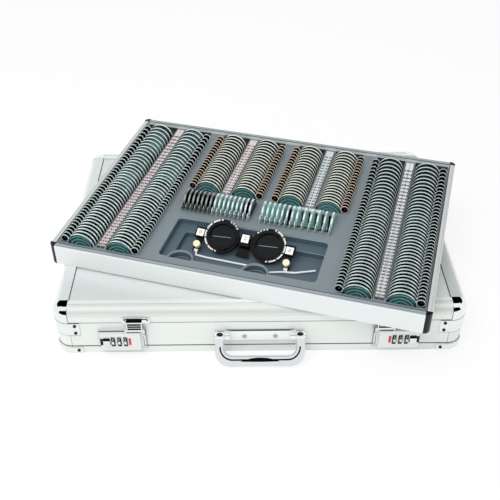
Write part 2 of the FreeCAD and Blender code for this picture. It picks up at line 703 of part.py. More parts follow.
# Handle
eye_in = pivot_x - arm_w / 2
back_plate = slab("HandlePlate", -eye_in + 0.6, -half_y - 1.8, pivot_z - 12, 2 * eye_in - 1.2, 1.8, 17,
                  5, "y")
plate_parts = [back_plate]
for k, x in enumerate((-20, 20)):
    plate_parts.append(rod("PlateRivet%d" % k, x, -half_y - 3, pivot_z - 4.5, 3, 1.4, "y"))
node("handle_plate", fuse("HandlePlateWhole", plate_parts))

bracket_x = eye_in - side - bracket_w
block = slab("BracketBlock", bracket_x, -half_y - pivot_y - 4.6, pivot_z - 5.2, bracket_w,
             pivot_y + 4.6 - 1.8, 10.4, 3, "x", lambda e: along(e, "x") and middle(e).y < 1)
stub = rod("BracketPin", bracket_x + 1, -half_y - pivot_y, pivot_z, pin_r,
           bracket_w + arm_w + 2 * side, "x")
head = rod("BracketHead", bracket_x + bracket_w + arm_w + 2 * side - 0.2, -half_y - pivot_y, pivot_z,
           pin_r + 1, 1.2, "x")
bracket = fuse("HandleBracket", [block, stub, head])
node("handle_brackets", together("HandleBrackets", pair("HandleBracket", bracket)))

# Bail: an outline padded through its thickness, with eyes on the pins
body, sketch = body_sketch("Bail", "XZ_Plane")
out_x = pivot_x + arm_w / 2
in_x = pivot_x - arm_w / 2
outline(sketch, [(0, 0), (2 * out_x, 0), (2 * out_x, bail_l), (out_x + in_x, bail_l),
                 (out_x + in_x, grip_w), (out_x - in_x, grip_w), (out_x - in_x, bail_l), (0, bail_l)])
bail_pad = pad(body, sketch, bail_t)


def outer_corner(edge):
    spot = middle(edge)
    return along(edge, "y") and spot.z < 1e-6


def inner_corner(edge):
    spot = middle(edge)
    return along(edge, "y") and abs(spot.z - grip_w.value) < 1e-6


outer_round = soften(body, bail_pad, 19, outer_corner)
soften(body, outer_round, 11, inner_corner)
put(body, -out_x, bail_t / 2, -bail_l)
eyes = [rod("BailEye", in_x, 0, 0, eye_r, arm_w, "x")]
bores = [rod("BailBore", in_x - 1, 0, 0, pin_r + run, arm_w + 2, "x")]
whole = fuse("BailWhole", [body] + pair("BailEye", eyes[0]))
bail = cut("BailBored", whole, together("BailBores", pair("BailBore", bores[0])))
bail.Placement = FreeCAD.Placement(FreeCAD.Vector(0, -(half_y.value + pivot_y.value), pivot_z.value),
                                   FreeCAD.Rotation(FreeCAD.Vector(1, 0, 0), -lean.value))
node("handle_bail", bail)

# Tray
tray_place = FreeCAD.Placement(FreeCAD.Vector(tray_x.value, tray_y.value, case_height.value),
                               FreeCAD.Rotation(FreeCAD.Vector(0, 0, 1), tray_turn.value))


def on_tray(label, obj):
    obj.Placement = tray_place
    bind(obj, "Placement.Base.x", tray_x)
    bind(obj, "Placement.Base.y", tray_y)
    bind(obj, "Placement.Base.z", case_height)
    return node(label, obj)


wall_section = [(0, 0), (tray_wall, 0), (tray_wall, tray_w), (0, tray_w)]
tray_long = tray_u - 2 * tray_wall
tray_short = tray_v - 2 * tray_wall


def tray_edge(edge):
    spot = middle(edge)
    return along(edge, "x") and abs(spot.y) < 1e-6 and spot.z > tray_w.value - 0.1


front_wall = rail("TrayFront", wall_section, tray_long, 0, -(tray_long / 2), -(tray_v / 2),
                  (2, tray_edge))
left_wall = rail("TrayLeft", wall_section, tray_short, -90, -(tray_u / 2), tray_short / 2,
                 (2, tray_edge))
on_tray("tray_walls", together("TrayWalls", pair("TrayLong", front_wall, BACKWARDS)
                               + pair("TrayShort", left_wall)))
cap = rod("TrayCap", tray_u / 2 - tray_wall, tray_v / 2 - tray_wall, 0, tray_wall, tray_w + 0.4, "z", 90)
on_tray("tray_corner_caps", together("TrayCaps", four("TrayCap", cap)))
bed_u = tray_u / 2 - tray_wall - fit
bed_v = tray_v / 2 - tray_wall - fit
on_tray("tray_floor", together("TrayFloorSet", [box("TrayFloor", -bed_u, -bed_v, 0, 2 * bed_u,
                                                    2 * bed_v, floor_t)]))


def spaced(first, step, grow, count, power):
    """Places of the lenses of one column: thicker lenses sit further apart."""
    number = int(round(read(count)))
    last = max(1, number - 1)
    return [read(first) + read(step) * i + read(grow) * (i / last) ** power for i in range(number)]


long_places = spaced(long_first, long_step, long_grow, long_count, 4)
short_places = spaced(short_first, short_step, short_grow, short_count, 3)
left_places = [read(cross_left) + read(cross_step) * i for i in range(int(round(read(cross_count))))]
right_places = [read(right_first) + read(right_step) * i for i in range(int(round(read(right_thin))))]
prism_places = [right_places[-1] + read(prism_step) * (i + 1) for i in range(int(round(read(prism_count))))]
right_places = right_places + prism_places


def trough(places, spot, crossing=False):
    """The hollow under one row of lenses: a narrow groove for each ring between ribs."""
    deep = read(ring_r) + read(seat)
    low = read(rib_r)
    half = read(ring_t) / 2 + read(slot_gap)
    points = [FreeCAD.Vector(0, 0, places[0] - half)]
    for at in places:
        points.append(FreeCAD.Vector(deep if at == places[0] else low, 0, at - half))
        if at != places[0]:
            points.append(FreeCAD.Vector(deep, 0, at - half))
        points.append(FreeCAD.Vector(deep, 0, at + half))
        if at != places[-1]:
            points.append(FreeCAD.Vector(low, 0, at + half))
    points.append(FreeCAD.Vector(0, 0, places[-1] + half))
    points.append(points[0])
    face = Part.Face(Part.makePolygon(points))
    shape = face.revolve(FreeCAD.Vector(0, 0, 0), FreeCAD.Vector(0, 0, 1), 360)
    if crossing:
        turn = FreeCAD.Rotation(FreeCAD.Vector(0, 1, 0), 90)
        start = FreeCAD.Vector(0, spot, read(lens_w))
    else:
        turn = FreeCAD.Rotation(FreeCAD.Vector(1, 0, 0), -90)
        start = FreeCAD.Vector(spot, 0, read(lens_w))
    shape.Placement = FreeCAD.Placement(start, turn)
    return shape


def bed(u0, u1, v0, v1, troughs):
    block = Part.makeBox(u1 - u0, v1 - v0, read(bed_top) - read(floor_t),
                         FreeCAD.Vector(u0, v0, read(floor_t)))
    for hollow_shape in troughs:
        block = block.cut(hollow_shape)
    return block


a, b, c, d = read(col_a), read(col_b), read(col_c), read(col_d)
left_bed = bed(-read(bed_u), read(bed_left), -read(bed_v), read(bed_v),
               [trough(long_places, -a), trough(long_places, -b)])
right_bed = bed(read(bed_right), read(bed_u), -read(bed_v), read(bed_v),
                [trough(long_places, b), trough(long_places, a)])
middle_bed = bed(read(bed_left), read(bed_right), read(well_back), read(bed_v),
                 [trough(short_places, x) for x in (-c, -d, d, c)]
                 + [trough(left_places, read(cross_v), True), trough(right_places, read(cross_v), True)])
beds = doc.addObject("Part::Feature", "LensBeds")
beds.Shape = Part.makeCompound([left_bed, right_bed, middle_bed])
on_tray("tray_lens_beds", beds)

# The well: a shelf, a deeper part and two half-round finger cups at its front wall
well_block = box("WellBlock", bed_left, -bed_v, floor_t, bed_right - bed_left, bed_v + well_back,
                 bed_top - floor_t)
shelf = slab("WellShelf", well_u0, well_v0, shelf_w, well_u1 - well_u0, well_v1 - well_v0,
             bed_top - shelf_w + 1, well_round)
deep = slab("WellDeep", deep_u0, well_v0, floor_t - 1, well_u1 - deep_u0, deep_v1 - well_v0,
            bed_top - floor_t + 2, well_round)
cups = []
cup_hollows = []
mat_holes = []
for tag, at in (("A", boss_a), ("B", boss_b)):
    cups.append(rod("Cup" + tag, at, well_v0 - 0.5, floor_t, boss_r, bed_top - floor_t, "z"))
    mat_holes.append(rod("MatHole" + tag, at, well_v0 - 0.5, floor_t - 1, boss_r + fit, mat_t + 2, "z"))
    cup_hollows.append(rod("CupHollow" + tag, at, well_v0 - 0.5, deep_w + 5, boss_r - boss_t,
                           bed_top - deep_w, "z"))
cup_front = box("CupFront", bed_left, -bed_v - 40, 0, bed_right - bed_left, bed_v + well_v0 + 38.5,
                bed_top + 20)
open_well = cut("OpenWell", well_block, fuse("WellHollows", [shelf, deep]))
full_well = fuse("FullWell", [open_well, cut("CupWalls", fuse("Cups", cups), cup_front)])
well_body = cut("FrameWell", full_well, cut("CupHollowsBack", fuse("CupHollows", cup_hollows), cup_front))

# A mat lies on the tray's floor inside the deeper part
mat_slab = slab("MatSlab", deep_u0 + fit, well_v0 + fit, floor_t, well_u1 - deep_u0 - 2 * fit,
                deep_v1 - well_v0 - 2 * fit, mat_t, well_round - fit)
well_mat = cut("WellMat", mat_slab, fuse("MatHoles", mat_holes))
on_tray("tray_frame_well", together("WellSet", [well_body, well_mat]))

# Label strips between the columns, with a raised edge on either side
strips = []


def strip(name, u, v0, v1, width=strip_w):
    strips.append(fuse(name, [
        box(name + "Flat", u - width / 2, v0, bed_top, width, v1 - v0, strip_t),
        box(name + "EdgeA", u - width / 2, v0, bed_top, strip_edge, v1 - v0, strip_t + strip_rise),
        box(name + "EdgeB", u + width / 2 - strip_edge, v0, bed_top, strip_edge, v1 - v0,
            strip_t + strip_rise)]))


between_long = (col_a + col_b) / 2
between_short = (col_c + col_d) / 2
strip("StripA", -between_long, strip_front, strip_back)
strip("StripB", -between_short, strip_mid, strip_back)
strip("StripC", between_short, strip_mid, strip_back)
strip("StripD", between_long, strip_front, strip_back)
strip_end = strip_mid - 1
tag_front = cross_v + ring_r + seat + 0.8
for tag, at in (("TagA", -between_short), ("TagB", between_short)):
    strips.append(box(tag, at - 22, tag_front, bed_top, 44, strip_end - 2 - tag_front, strip_t))
on_tray("label_strips", together("LabelStrips", strips))


# Trial lenses
def rim(side_sign):
    """A lens ring standing across the row, with a pierced round tab to one side."""
    thick = read(ring_t)
    back = FreeCAD.Vector(0, 1, 0)
    ring = Part.makeCylinder(read(ring_r), thick, FreeCAD.Vector(0, -thick / 2, 0), back)
    rise = math.radians(read(tab_up))
    where = FreeCAD.Vector(side_sign * read(tab_at) * math.cos(rise), 0, read(tab_at) * math.sin(rise))
    thin = read(tab_t)
    tab = Part.makeCylinder(read(tab_r), thin, where - FreeCAD.Vector(0, thin / 2, 0), back)
    wide = 1.3 * read(tab_r)
    neck = Part.makeBox(read(tab_at), thin, wide, FreeCAD.Vector(0, -thin / 2, -wide / 2))
    neck.rotate(FreeCAD.Vector(0, 0, 0), back, -read(tab_up) if side_sign > 0 else read(tab_up) - 180)
    bore = Part.makeCylinder(read(bore_r), thick + 2, FreeCAD.Vector(0, -thick / 2 - 1, 0), back)
    hole = Part.makeCylinder(read(tab_r) * 0.24, thin + 2, where - FreeCAD.Vector(0, thin / 2 + 1, 0), back)
    return ring.fuse([tab, neck]).removeSplitter().cut(bore).cut(hole)


def glass():
    thick = read(glass_t)
    return Part.makeCylinder(read(bore_r) - 0.15, thick, FreeCAD.Vector(0, -thick / 2, 0),
                             FreeCAD.Vector(0, 1, 0))


rims = {-1: rim(-1), 1: rim(1)}
lens_glass = glass()


def stand(shape, u, v, crossing=False):
    turn = FreeCAD.Rotation(FreeCAD.Vector(0, 0, 1), 90 if crossing else 0)
    placed = shape.copy()
    placed.Placement = FreeCAD.Placement(FreeCAD.Vector(u, v, read(lens_w)), turn)
    return placed


def lens_group(label, rows):
    """Rims and lenses of several rows: (tab side, u, v, crossing) for each."""
    for kind, shapes in (("rims", [stand(rims[r[0]], *r[1:]) for r in rows]),
                         ("glass", [stand(lens_glass, *r[1:]) for r in rows])):
        obj = doc.addObject("Part::Feature", "Lens%s%s" % (kind.title(), label.title().replace("_", "")))
        obj.Shape = Part.makeCompound(shapes)
        on_tray("lens_%s_%s" % (kind, label), obj)


lens_group("sphere_left", [(-1, -a, v) for v in long_places] + [(1, -b, v) for v in long_places])
lens_group("sphere_right", [(-1, b, v) for v in long_places] + [(1, a, v) for v in long_places[1:]])
lens_group("cylinder", [(s, x, v) for s, x in ((-1, -c), (1, -d), (-1, d), (1, c)) for v in short_places])
lens_group("cross_left", [(-1, u, read(cross_v), True) for u in left_places])
lens_group("cross_right", [(-1, u, read(cross_v), True) for u in right_places])
lens_group("front_right", [(1, a, long_places[0])])

# Trial frame
face_turn = FreeCAD.Rotation(FreeCAD.Vector(1, 0, 0), read(tf_tilt)).multiply(
    FreeCAD.Rotation(FreeCAD.Vector(0, 0, 1), read(tf_roll)))
face_place = FreeCAD.Placement(FreeCAD.Vector(read(tf_u), read(tf_v), read(tf_w)), face_turn)
frame_place = tray_place.multiply(face_place)


def on_frame(label, obj):
    obj.Placement = frame_place
    return node(label, obj)


bar = box("BridgeBar", -(bar_l / 2), -1, -bar_z, bar_l, bar_h, bar_t)
post_mid = box("BridgePost", -7, -8, -bar_z, 14, 18, bar_z + 2)
nose_body, nose_sketch = body_sketch("NoseRest", "XY_Plane")
outline(nose_sketch, [(2, 0), (20, 0), (16, 16), (6, 16)])
pad(nose_body, nose_sketch, 4)
put(nose_body, -11, -21, -bar_z + 1)
on_frame("tf_bridge", fuse("Bridge", [bar, post_mid, nose_body]))
plate = box("BridgePlate", -5, -3, 2, 10, 11, 0.8)
dots = [rod("PlateDot%d" % k, 0, 1 + 4 * k, 1, 1, 3, "z") for k in (0, 1)]
on_frame("tf_bridge_label", cut("BridgeLabel", plate, fuse("PlateDots", dots)))

pivot_at = (block_x + 0.5, -(knob_y + 7), -3)


def sector(name, r0, r1, start, sweep, z, thickness, x):
    """A flat arc of a ring, for a degree scale."""
    outer = rod(name + "Out", x, 0, z, r1, thickness, "z", sweep)
    inner = rod(name + "In", x, 0, z - 1, r0, as_size(thickness) + 2, "z", sweep)
    for piece in (outer, inner):
        piece.Placement.Rotation = FreeCAD.Rotation(FreeCAD.Vector(0, 0, 1), start)
    return cut(name, outer, inner)


for tag, sign in (("left", -1), ("right", 1)):
    name = tag.title()
    eye = sign * cell_x
    out = sign * block_x

    def across(first, last, sign=sign):
        """Left end of a span given from the bridge outwards."""
        return sign * as_size(first) if sign > 0 else -as_size(last)

    disc = rod("Holder" + name + "Disc", eye, 0, -(hold_t - 2), hold_r, hold_t, "z")
    runner = box("Holder" + name + "Runner", across(block_x - 9, block_x + 3), -4.5, -bar_z - 2.5, 12,
                 bar_h + 7, bar_z - 0.5)
    head_block = box("Holder" + name + "Head", across(block_x - 5.9, block_x + 7), -8, -3.5, 12.9,
                     14.5, 6.5)
    limb = box("Holder" + name + "Limb", across(block_x - 4, block_x + 4), -knob_y - 4, -5, 8, knob_y + 2, 5)
    lug = box("Holder" + name + "Lug", across(block_x + 3.6, block_x + 5.2), -knob_y - 8.8, -4.4, 1.6,
              9.8, 3.8)
    pin = rod("Holder" + name + "Pin", across(block_x - 3.6, block_x + 4), pivot_at[1], pivot_at[2],
              0.9, 7.6, "x")
    whole = fuse("Holder" + name + "Whole", [disc, runner, head_block, limb, lug, pin])
    bore = rod("Holder" + name + "Bore", eye, 0, -bar_z, hold_b, 2 * bar_z, "z")
    guide = box("Holder" + name + "Guide", across(block_x - 30, block_x + 12), -1 - 0.3, -bar_z - 0.3, 42,
                bar_h + 0.6, bar_t + 0.6)
    on_frame("tf_holder_" + tag, cut("Holder" + name, whole, fuse("Holder" + name + "Holes", [bore, guide])))

    main_start = 100 if sign < 0 else -85
    arcs = [sector("Scale" + name + "Main", hold_b + 0.4, hold_r - 0.2, main_start, 165, 2, scale_t, eye),
            sector("Scale" + name + "Short", hold_b + 0.4, hold_r - 0.2, 35 if sign < 0 else 105, 38, 2,
                   scale_t, eye),
            box("Scale" + name + "Plate", across(block_x - 5, block_x + 5), -6.5, 3, 10, 10, scale_t)]
    on_frame("tf_scale_" + tag, together("Scale" + name, arcs))

    turn_ring = rod("Rotor" + name + "Ring", eye, 0, -3, rotor_r, 6.4, "z")
    clips = [box("Rotor%sClip%d" % (name, k), eye - 2, 0, 3, 4, rotor_r - 0.4, 2.2) for k in range(3)]
    for k, clip in enumerate(clips):
        clip.setExpression("Placement.Base.x", None)
        clip.setExpression("Placement.Base.y", None)
        turn = FreeCAD.Rotation(FreeCAD.Vector(0, 0, 1), 90 + 120 * k)
        corner = turn.multVec(FreeCAD.Vector(-2, 0, 0))
        clip.Placement = FreeCAD.Placement(FreeCAD.Vector(eye.value + corner.x, corner.y, 3), turn)
    rotor_hole = rod("Rotor" + name + "Hole", eye, 0, -5, rotor_b, 14, "z")
    on_frame("tf_rotor_" + tag, cut("Rotor" + name, fuse("Rotor" + name + "Whole", [turn_ring] + clips),
                                    rotor_hole))
    on_frame("tf_lens_" + tag, together("FrameLens" + name, [
        rod("FrameLens" + name + "Disc", eye, 0, -1, rotor_b - 0.15, 1.8, "z")]))
    on_frame("tf_knob_" + tag, together("Knob" + name + "Set", [
        rod("Knob" + name, out, -knob_y, 0, knob_r, 6, "z")]))


def tube(points, radius):
    """A round tube along straight runs, mitred where they meet."""
    line = Part.makePolygon(points)
    start = Part.Wire(Part.makeCircle(radius, points[0], points[1] - points[0]))
    return line.makePipeShell([start], True, True, 1)


floor_line = read(deep_w) + read(tube_r) + read(tube_gap)
left_path = ((-66, -117.2, 0), (-50, -118.8, 0), (10, -120, 0), (18, -121.5, 0))
right_path = ((38, -126.2, 0), (54, -120.6, 0), (72, -117.4, 0), (97, -108.5, 2))
for tag, sign, path in (("left", -1, left_path), ("right", 1, right_path)):
    centre = face_place.multVec(FreeCAD.Vector(sign * (pivot_at[0].value - 0.3), pivot_at[1].value,
                                               pivot_at[2]))
    axis = face_turn.multVec(FreeCAD.Vector(1, 0, 0))
    hub = Part.makeCylinder(2.3, 5.2, centre - axis * 2.6, axis)
    hub_bore = Part.makeCylinder(0.95, 12, centre - axis * 6, axis)
    line = [FreeCAD.Vector(x, y, floor_line + rise) for x, y, rise in path]
    foot = FreeCAD.Vector(centre.x + 1.5, -118 if sign < 0 else -119.6, floor_line + 0.1)
    reach = foot - centre
    stalk = Part.makeCylinder(1.1, reach.Length, centre, reach)
    temple = doc.addObject("Part::Feature", "Temple" + tag.title())
    temple.Shape = tube(line, read(tube_r)).fuse([stalk, hub]).cut(hub_bore)
    on_tray("tf_temple_" + tag, temple)

# Checks and files
doc.recompute()
faults = [o.Name for o in doc.Objects if "Invalid" in o.State or "Error" in o.State]
if faults:
    raise RuntimeError("objects that did not compute: %s" % ", ".join(faults))
for obj in nodes:
    if obj.Shape.isNull() or not obj.Shape.isValid() or not obj.Shape.Solids:
        raise RuntimeError("bad shape: %s" % obj.Label)
os.makedirs("parts", exist_ok=True)
for obj in nodes:
    obj.Shape.exportStep("parts/%s.step" % obj.Label)
    spread = obj.Shape.BoundBox
    print("%-24s solids %3d  x %.1f..%.1f  y %.1f..%.1f  z %.1f..%.1f" % (
        obj.Label, len(obj.Shape.Solids), spread.XMin, spread.XMax, spread.YMin, spread.YMax,
        spread.ZMin, spread.ZMax))
print(len(nodes), "pieces written")
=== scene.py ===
import math

import bmesh
import bpy
from mathutils import Matrix, Vector


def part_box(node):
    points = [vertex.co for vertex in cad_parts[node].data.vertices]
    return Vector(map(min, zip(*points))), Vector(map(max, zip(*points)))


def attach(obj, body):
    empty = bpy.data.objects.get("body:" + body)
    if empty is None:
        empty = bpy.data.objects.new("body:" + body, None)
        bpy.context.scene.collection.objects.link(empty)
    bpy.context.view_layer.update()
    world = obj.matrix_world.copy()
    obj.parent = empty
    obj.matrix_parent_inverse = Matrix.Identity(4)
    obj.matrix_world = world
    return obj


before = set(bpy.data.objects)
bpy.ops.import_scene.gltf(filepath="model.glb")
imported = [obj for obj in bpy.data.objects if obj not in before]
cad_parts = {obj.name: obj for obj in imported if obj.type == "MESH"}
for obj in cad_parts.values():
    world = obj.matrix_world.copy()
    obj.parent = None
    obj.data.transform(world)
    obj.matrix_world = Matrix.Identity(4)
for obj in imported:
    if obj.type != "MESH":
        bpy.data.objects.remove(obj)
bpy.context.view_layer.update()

bl_info = {
    "name": "Trial Lens Case",
    "version": (1, 0, 0),
    "blender": (4, 5, 0),
    "location": "3D View > Sidebar > Lens Case",
    "description": "Finishes, printed numbers and small fittings of an aluminium trial lens case",
    "category": "Object",
}

MM = 0.001


def shade(red, green, blue):
    """Turns a colour as seen on a screen (0 to 255) into the linear values that Blender stores."""
    linear = []
    for part in (red, green, blue):
        part /= 255
        linear.append(part / 12.92 if part < 0.04045 else ((part + 0.055) / 1.055) ** 2.4)
    return tuple(linear)


def colour(name, description, red, green, blue):
    """A colour property of a property group."""
    return bpy.props.FloatVectorProperty(name=name, description=description, size=3, min=0, max=1,
                                         subtype="COLOR", default=shade(red, green, blue))


def length(name, description, millimetres):
    """A length property of a property group, kept in metres."""
    return bpy.props.FloatProperty(name=name, description=description, default=millimetres * MM,
                                   unit="LENGTH", precision=5)


def angle(name, description, degrees):
    """An angle property of a property group."""
    return bpy.props.FloatProperty(name=name, description=description, default=math.radians(degrees),
                                   unit="ROTATION", precision=4)


# Sizes and colours

class ShellLook(bpy.types.PropertyGroup):
    """Case base, lid, locks and handle."""
    profile: colour("Profile", "Satin aluminium of the rails", 236, 241, 237)
    # Painted shade: a darker copy of the profile colour for the tops of the side flanges.
    flange_side: colour("Side flange", "Flange along the case's two sides", 218, 223, 224)
    panel: colour("Lid panel", "Embossed aluminium sheet of the lid", 229, 235, 234)
    # Painted shade: the dark of the gaps and edges between rails, panel, corners, clamps, locks and
    # handle plate.
    seam: colour("Seam", "Dark joints between rails, panel and corners", 62, 70, 73)
    chrome: colour("Chrome", "Polished corners, hasps and handle", 238, 241, 243)
    satin: colour("Satin chrome", "Lock housings and slide buttons", 232, 235, 233)
    # Painted shade in the locks' windows, grooves, wheel gaps and keeper hood, and painted dark
    # reflection on the handle; also the ink of the wheel digits.
    hollow: colour("Hollows", "Shadowed windows and grooves of the locks", 12, 13, 17)
    wheel: colour("Number wheel", "Body of the number wheels", 244, 244, 241)
    marker: colour("Marker", "Red mark beside the wheels", 214, 34, 38)
    foam: colour("Foam", "Lining of the case", 52, 54, 58)
    emboss: length("Emboss pitch", "Distance between the lid panel's raised diamonds", 2.4)
    # Width of the painted shade band along the flange's inner edge on the lid panel.
    seam_wide: length("Seam width", "Width of the dark joint round the lid panel", 1.1)
    corner: length("Corner", "Radius of the case's corners seen from above", 20)
    flange: length("Flange", "Width of the rail's flange over the panel", 19.9)
    rounding: length("Rounding", "Rounded shoulder of the lid's rail", 11.4)
    # Width of the painted shade lines at the parting, the groove, the corner posts and the shoulder.
    parting: length("Parting", "Height of the joint between base and lid", 53.3)
    groove: length("Groove", "Height of the groove along the base", 11.6)
    line: length("Line", "Width of a fine joint", 0.9)
    digit: length("Wheel digit", "Height of a digit on a number wheel", 6.2)
    pivot_y: length("Handle pivot across", "Middle of the handle's pivots, towards the back", -195)
    pivot_z: length("Handle pivot up", "Middle of the handle's pivots above the table", 34.2)
    grip_half: length("Grip half width", "Middle of the handle to an arm's inner side", 46.3)
    grip_drop: length("Grip drop", "Pivot to the grip's inner edge", 25.9)
    grip_bend: length("Grip bend", "Radius of the bend between arm and grip", 11)
    lean: angle("Handle lean", "Handle leans out from hanging", 35.6)


class TrayLook(bpy.types.PropertyGroup):
    """Lens tray and its lenses."""
    across: length("Place across", "Middle of the tray, across the case", 11.96)
    back: length("Place back", "Middle of the tray, towards the case's back", 3.78)
    above: length("Place up", "Underside of the tray above the table", 74.4)
    turn: angle("Turn", "Tray turned on the closed lid", -16.576)
    half_wide: length("Half width", "Middle of the tray to its side walls' outside", 252.2)
    half_deep: length("Half depth", "Middle of the tray to its front wall's outside", 175.25)
    wall: colour("Walls", "Satin painted walls of the tray", 224, 230, 229)
    rim: colour("Wall tops", "Top of the front and back walls", 150, 160, 166)
    cap: colour("Corner caps", "Black plastic corners", 12, 13, 17)
    bed: colour("Beds", "Blue grey moulding of the beds", 124, 135, 140)
    # Painted shade in the slots, on the wall tops and on the lens rims; also the black of the dark
    # cross discs.
    slot: colour("Slots", "Shadowed slots under the lenses", 9, 12, 14)
    # Painted shade: darker than the beds for the shade in the well's recess; the well's top takes the
    # bed colour.
    well: colour("Well", "Blue grey moulding of the frame's well", 84, 101, 112)
    card_warm: colour("Card, warm", "Pink label strips", 218, 207, 208)
    card_cool: colour("Card, cool", "Pale blue label strips", 206, 214, 219)
    card_pale: colour("Card, pale", "White label strips", 222, 227, 228)
    ink: colour("Ink", "Printed numbers", 10, 11, 15)
    # Painted reflection: near black for the dark that the rims' faces reflect between the lenses.
    rim_face: colour("Rim faces", "Faces of the lens rims", 14, 18, 20)
    silver: colour("Silver rims", "Lens rims of the sphere rows", 226, 244, 242)
    gold: colour("Gold rims", "Lens rims of the cylinder rows", 230, 234, 221)
    copper: colour("Copper tabs", "Handles of the cylinder rows", 228, 208, 188)
    # Painted shade in the recess of the copper handles.
    tab_hole: colour("Copper recess", "Recess in the copper handles", 34, 18, 14)
    glass: colour("Glass", "Lens glass", 13, 38, 40)
    glass_sheen: colour("Glass sheen", "Lens glass where it catches the light", 150, 190, 190)
    # Painted light: a lighter copy of the glass for the first lens of each row, which the light
    # reaches.
    glass_front: colour("Front glass", "First lens of each row", 122, 182, 182)
    # Colour of the coloured discs, and of the painted glow of the right cross row.
    glass_deep: colour("Coloured glass", "Coloured discs of the cross rows", 186, 226, 224)
    number: length("Number height", "Height of the printed numbers", 4.7)


class TrialFrameLook(bpy.types.PropertyGroup):
    """Trial frame in the well."""
    black: colour("Frame", "Black lacquer", 5, 5, 7)
    white: colour("Scales", "White enamel of scales and labels", 252, 252, 247)
    lens: colour("Dark lens", "Dark lenses in the frame", 10, 18, 23)
    cream: colour("Knobs", "Cream tilt knobs", 240, 234, 198)
    metal: colour("Temples", "Polished temple tubes", 250, 251, 251)
    bridge_u: length("Bridge along", "Bridge of the frame along the tray", -3.5)
    bridge_v: length("Bridge across", "Bridge of the frame across the tray", -93)
    bridge_w: length("Bridge up", "Bridge of the frame above the tray's base", 27)
    lean: angle("Lean", "Frame leaning up from flat", 32)
    roll: angle("Roll", "Frame turned in its own plane", -2)
    eye: length("Eye", "Bridge to the middle of each lens", 32.5)
    scale_in: length("Scale", "Inside radius of the degree scales", 21.6)
    plate: length("Plate", "Bridge to the middle of each side plate", 62.5)


class StageLook(bpy.types.PropertyGroup):
    """Floor, lamps and camera."""
    floor: colour("Floor", "Pale floor and backdrop", 246, 247, 247)
    world_light: bpy.props.FloatProperty(name="World light", default=0.72, min=0,
                                         description="Strength of the even light from all round")
    key_light: bpy.props.FloatProperty(name="Key light", default=26, min=0, unit="POWER",
                                       description="Power of the soft lamp above")
    pitch: angle("Camera pitch", "Camera looks down by this angle", 39.028)
    yaw: angle("Camera yaw", "Camera turned round the case", -0.087)
    roll: angle("Camera roll", "Camera turned about its own axis", -0.456)
    far: length("Camera distance", "Camera to the point it looks at", 1141.044)
    focal: bpy.props.FloatProperty(name="Focal length", default=56.097, unit="CAMERA",
                                   description="Lens of the camera on a 36 mm sensor")


# Node graphs

class Varying:
    """A number or vector that changes over a surface or a set of points.

    Sums, products and the like of it add their own Math nodes, and constants stay in sockets.
    """

    def __init__(self, graph, socket):
        self.graph = graph
        self.socket = socket

    def math(self, operation, *others):
        return self.graph.math(operation, self, *others)

    def __add__(self, other):
        return self.graph.math("ADD", self, other)

    def __radd__(self, other):
        return self.graph.math("ADD", other, self)

    def __sub__(self, other):
        return self.graph.math("SUBTRACT", self, other)

    def __rsub__(self, other):
        return self.graph.math("SUBTRACT", other, self)

    def __mul__(self, other):
        return self.graph.math("MULTIPLY", self, other)

    def __rmul__(self, other):
        return self.graph.math("MULTIPLY", other, self)

    def __truediv__(self, other):
        return self.graph.math("DIVIDE", self, other)

    def __rtruediv__(self, other):
        return self.graph.math("DIVIDE", other, self)

    def __neg__(self):
        return self.graph.math("MULTIPLY", self, -1)

    def __abs__(self):
        return self.graph.math("ABSOLUTE", self)

    def above(self, other):
        return self.graph.math("GREATER_THAN", self, other)

    def below(self, other):
        return self.graph.math("LESS_THAN", self, other)

    def between(self, low, high):
        """1 between two limits and 0 outside them."""
        return self.above(low) * self.below(high)

    def near(self, middle, wide):
        """1 within a band of this width and 0 outside it."""
        return self.between(middle - wide / 2, middle + wide / 2)

    def least(self, other):
        return self.graph.math("MINIMUM", self, other)

    def most(self, other):
        return self.graph.math("MAXIMUM", self, other)


class Graph:
    """Builds the nodes of a material or of a geometry tree."""

    def __init__(self, tree):
        self.tree = tree

    def node(self, kind, settings=None, inputs=None):
        """Adds a node: its settings first, then the values or links of its sockets."""
        made = self.tree.nodes.new(kind)
        for key, value in (settings or {}).items():
            setattr(made, key, value)
        for key, value in (inputs or {}).items():
            self.feed(made.inputs[key], value)
        return made

    def feed(self, socket, value):
        if isinstance(value, Varying):
            self.tree.links.new(value.socket, socket)
        elif isinstance(value, bpy.types.NodeSocket):
            self.tree.links.new(value, socket)
        else:
            socket.default_value = value

    def out(self, made, key=0):
        return Varying(self, made.outputs[key])

    def math(self, operation, *values):
        made = self.node("ShaderNodeMath", {"operation": operation}, dict(enumerate(values)))
        return self.out(made)

    def split(self, vector):
        made = self.node("ShaderNodeSeparateXYZ", None, {0: vector})
        return [self.out(made, k) for k in range(3)]

    def join(self, x=0.0, y=0.0, z=0.0):
        return self.out(self.node("ShaderNodeCombineXYZ", None, {0: x, 1: y, 2: z}))

    def mix(self, factor, first, second):
        """Mixes two colours."""
        made = self.node("ShaderNodeMix", {"data_type": "RGBA"},
                         {0: factor, 6: rgba(first), 7: rgba(second)})
        return self.out(made, 2)

    def noise(self, vector, scale, detail=2.0, roughness=0.5):
        made = self.node("ShaderNodeTexNoise", None,
                         {"Vector": vector, "Scale": scale, "Detail": detail, "Roughness": roughness})
        return self.out(made, 0)


def rgba(value):
    return value if isinstance(value, (Varying, bpy.types.NodeSocket)) else (*value, 1.0)


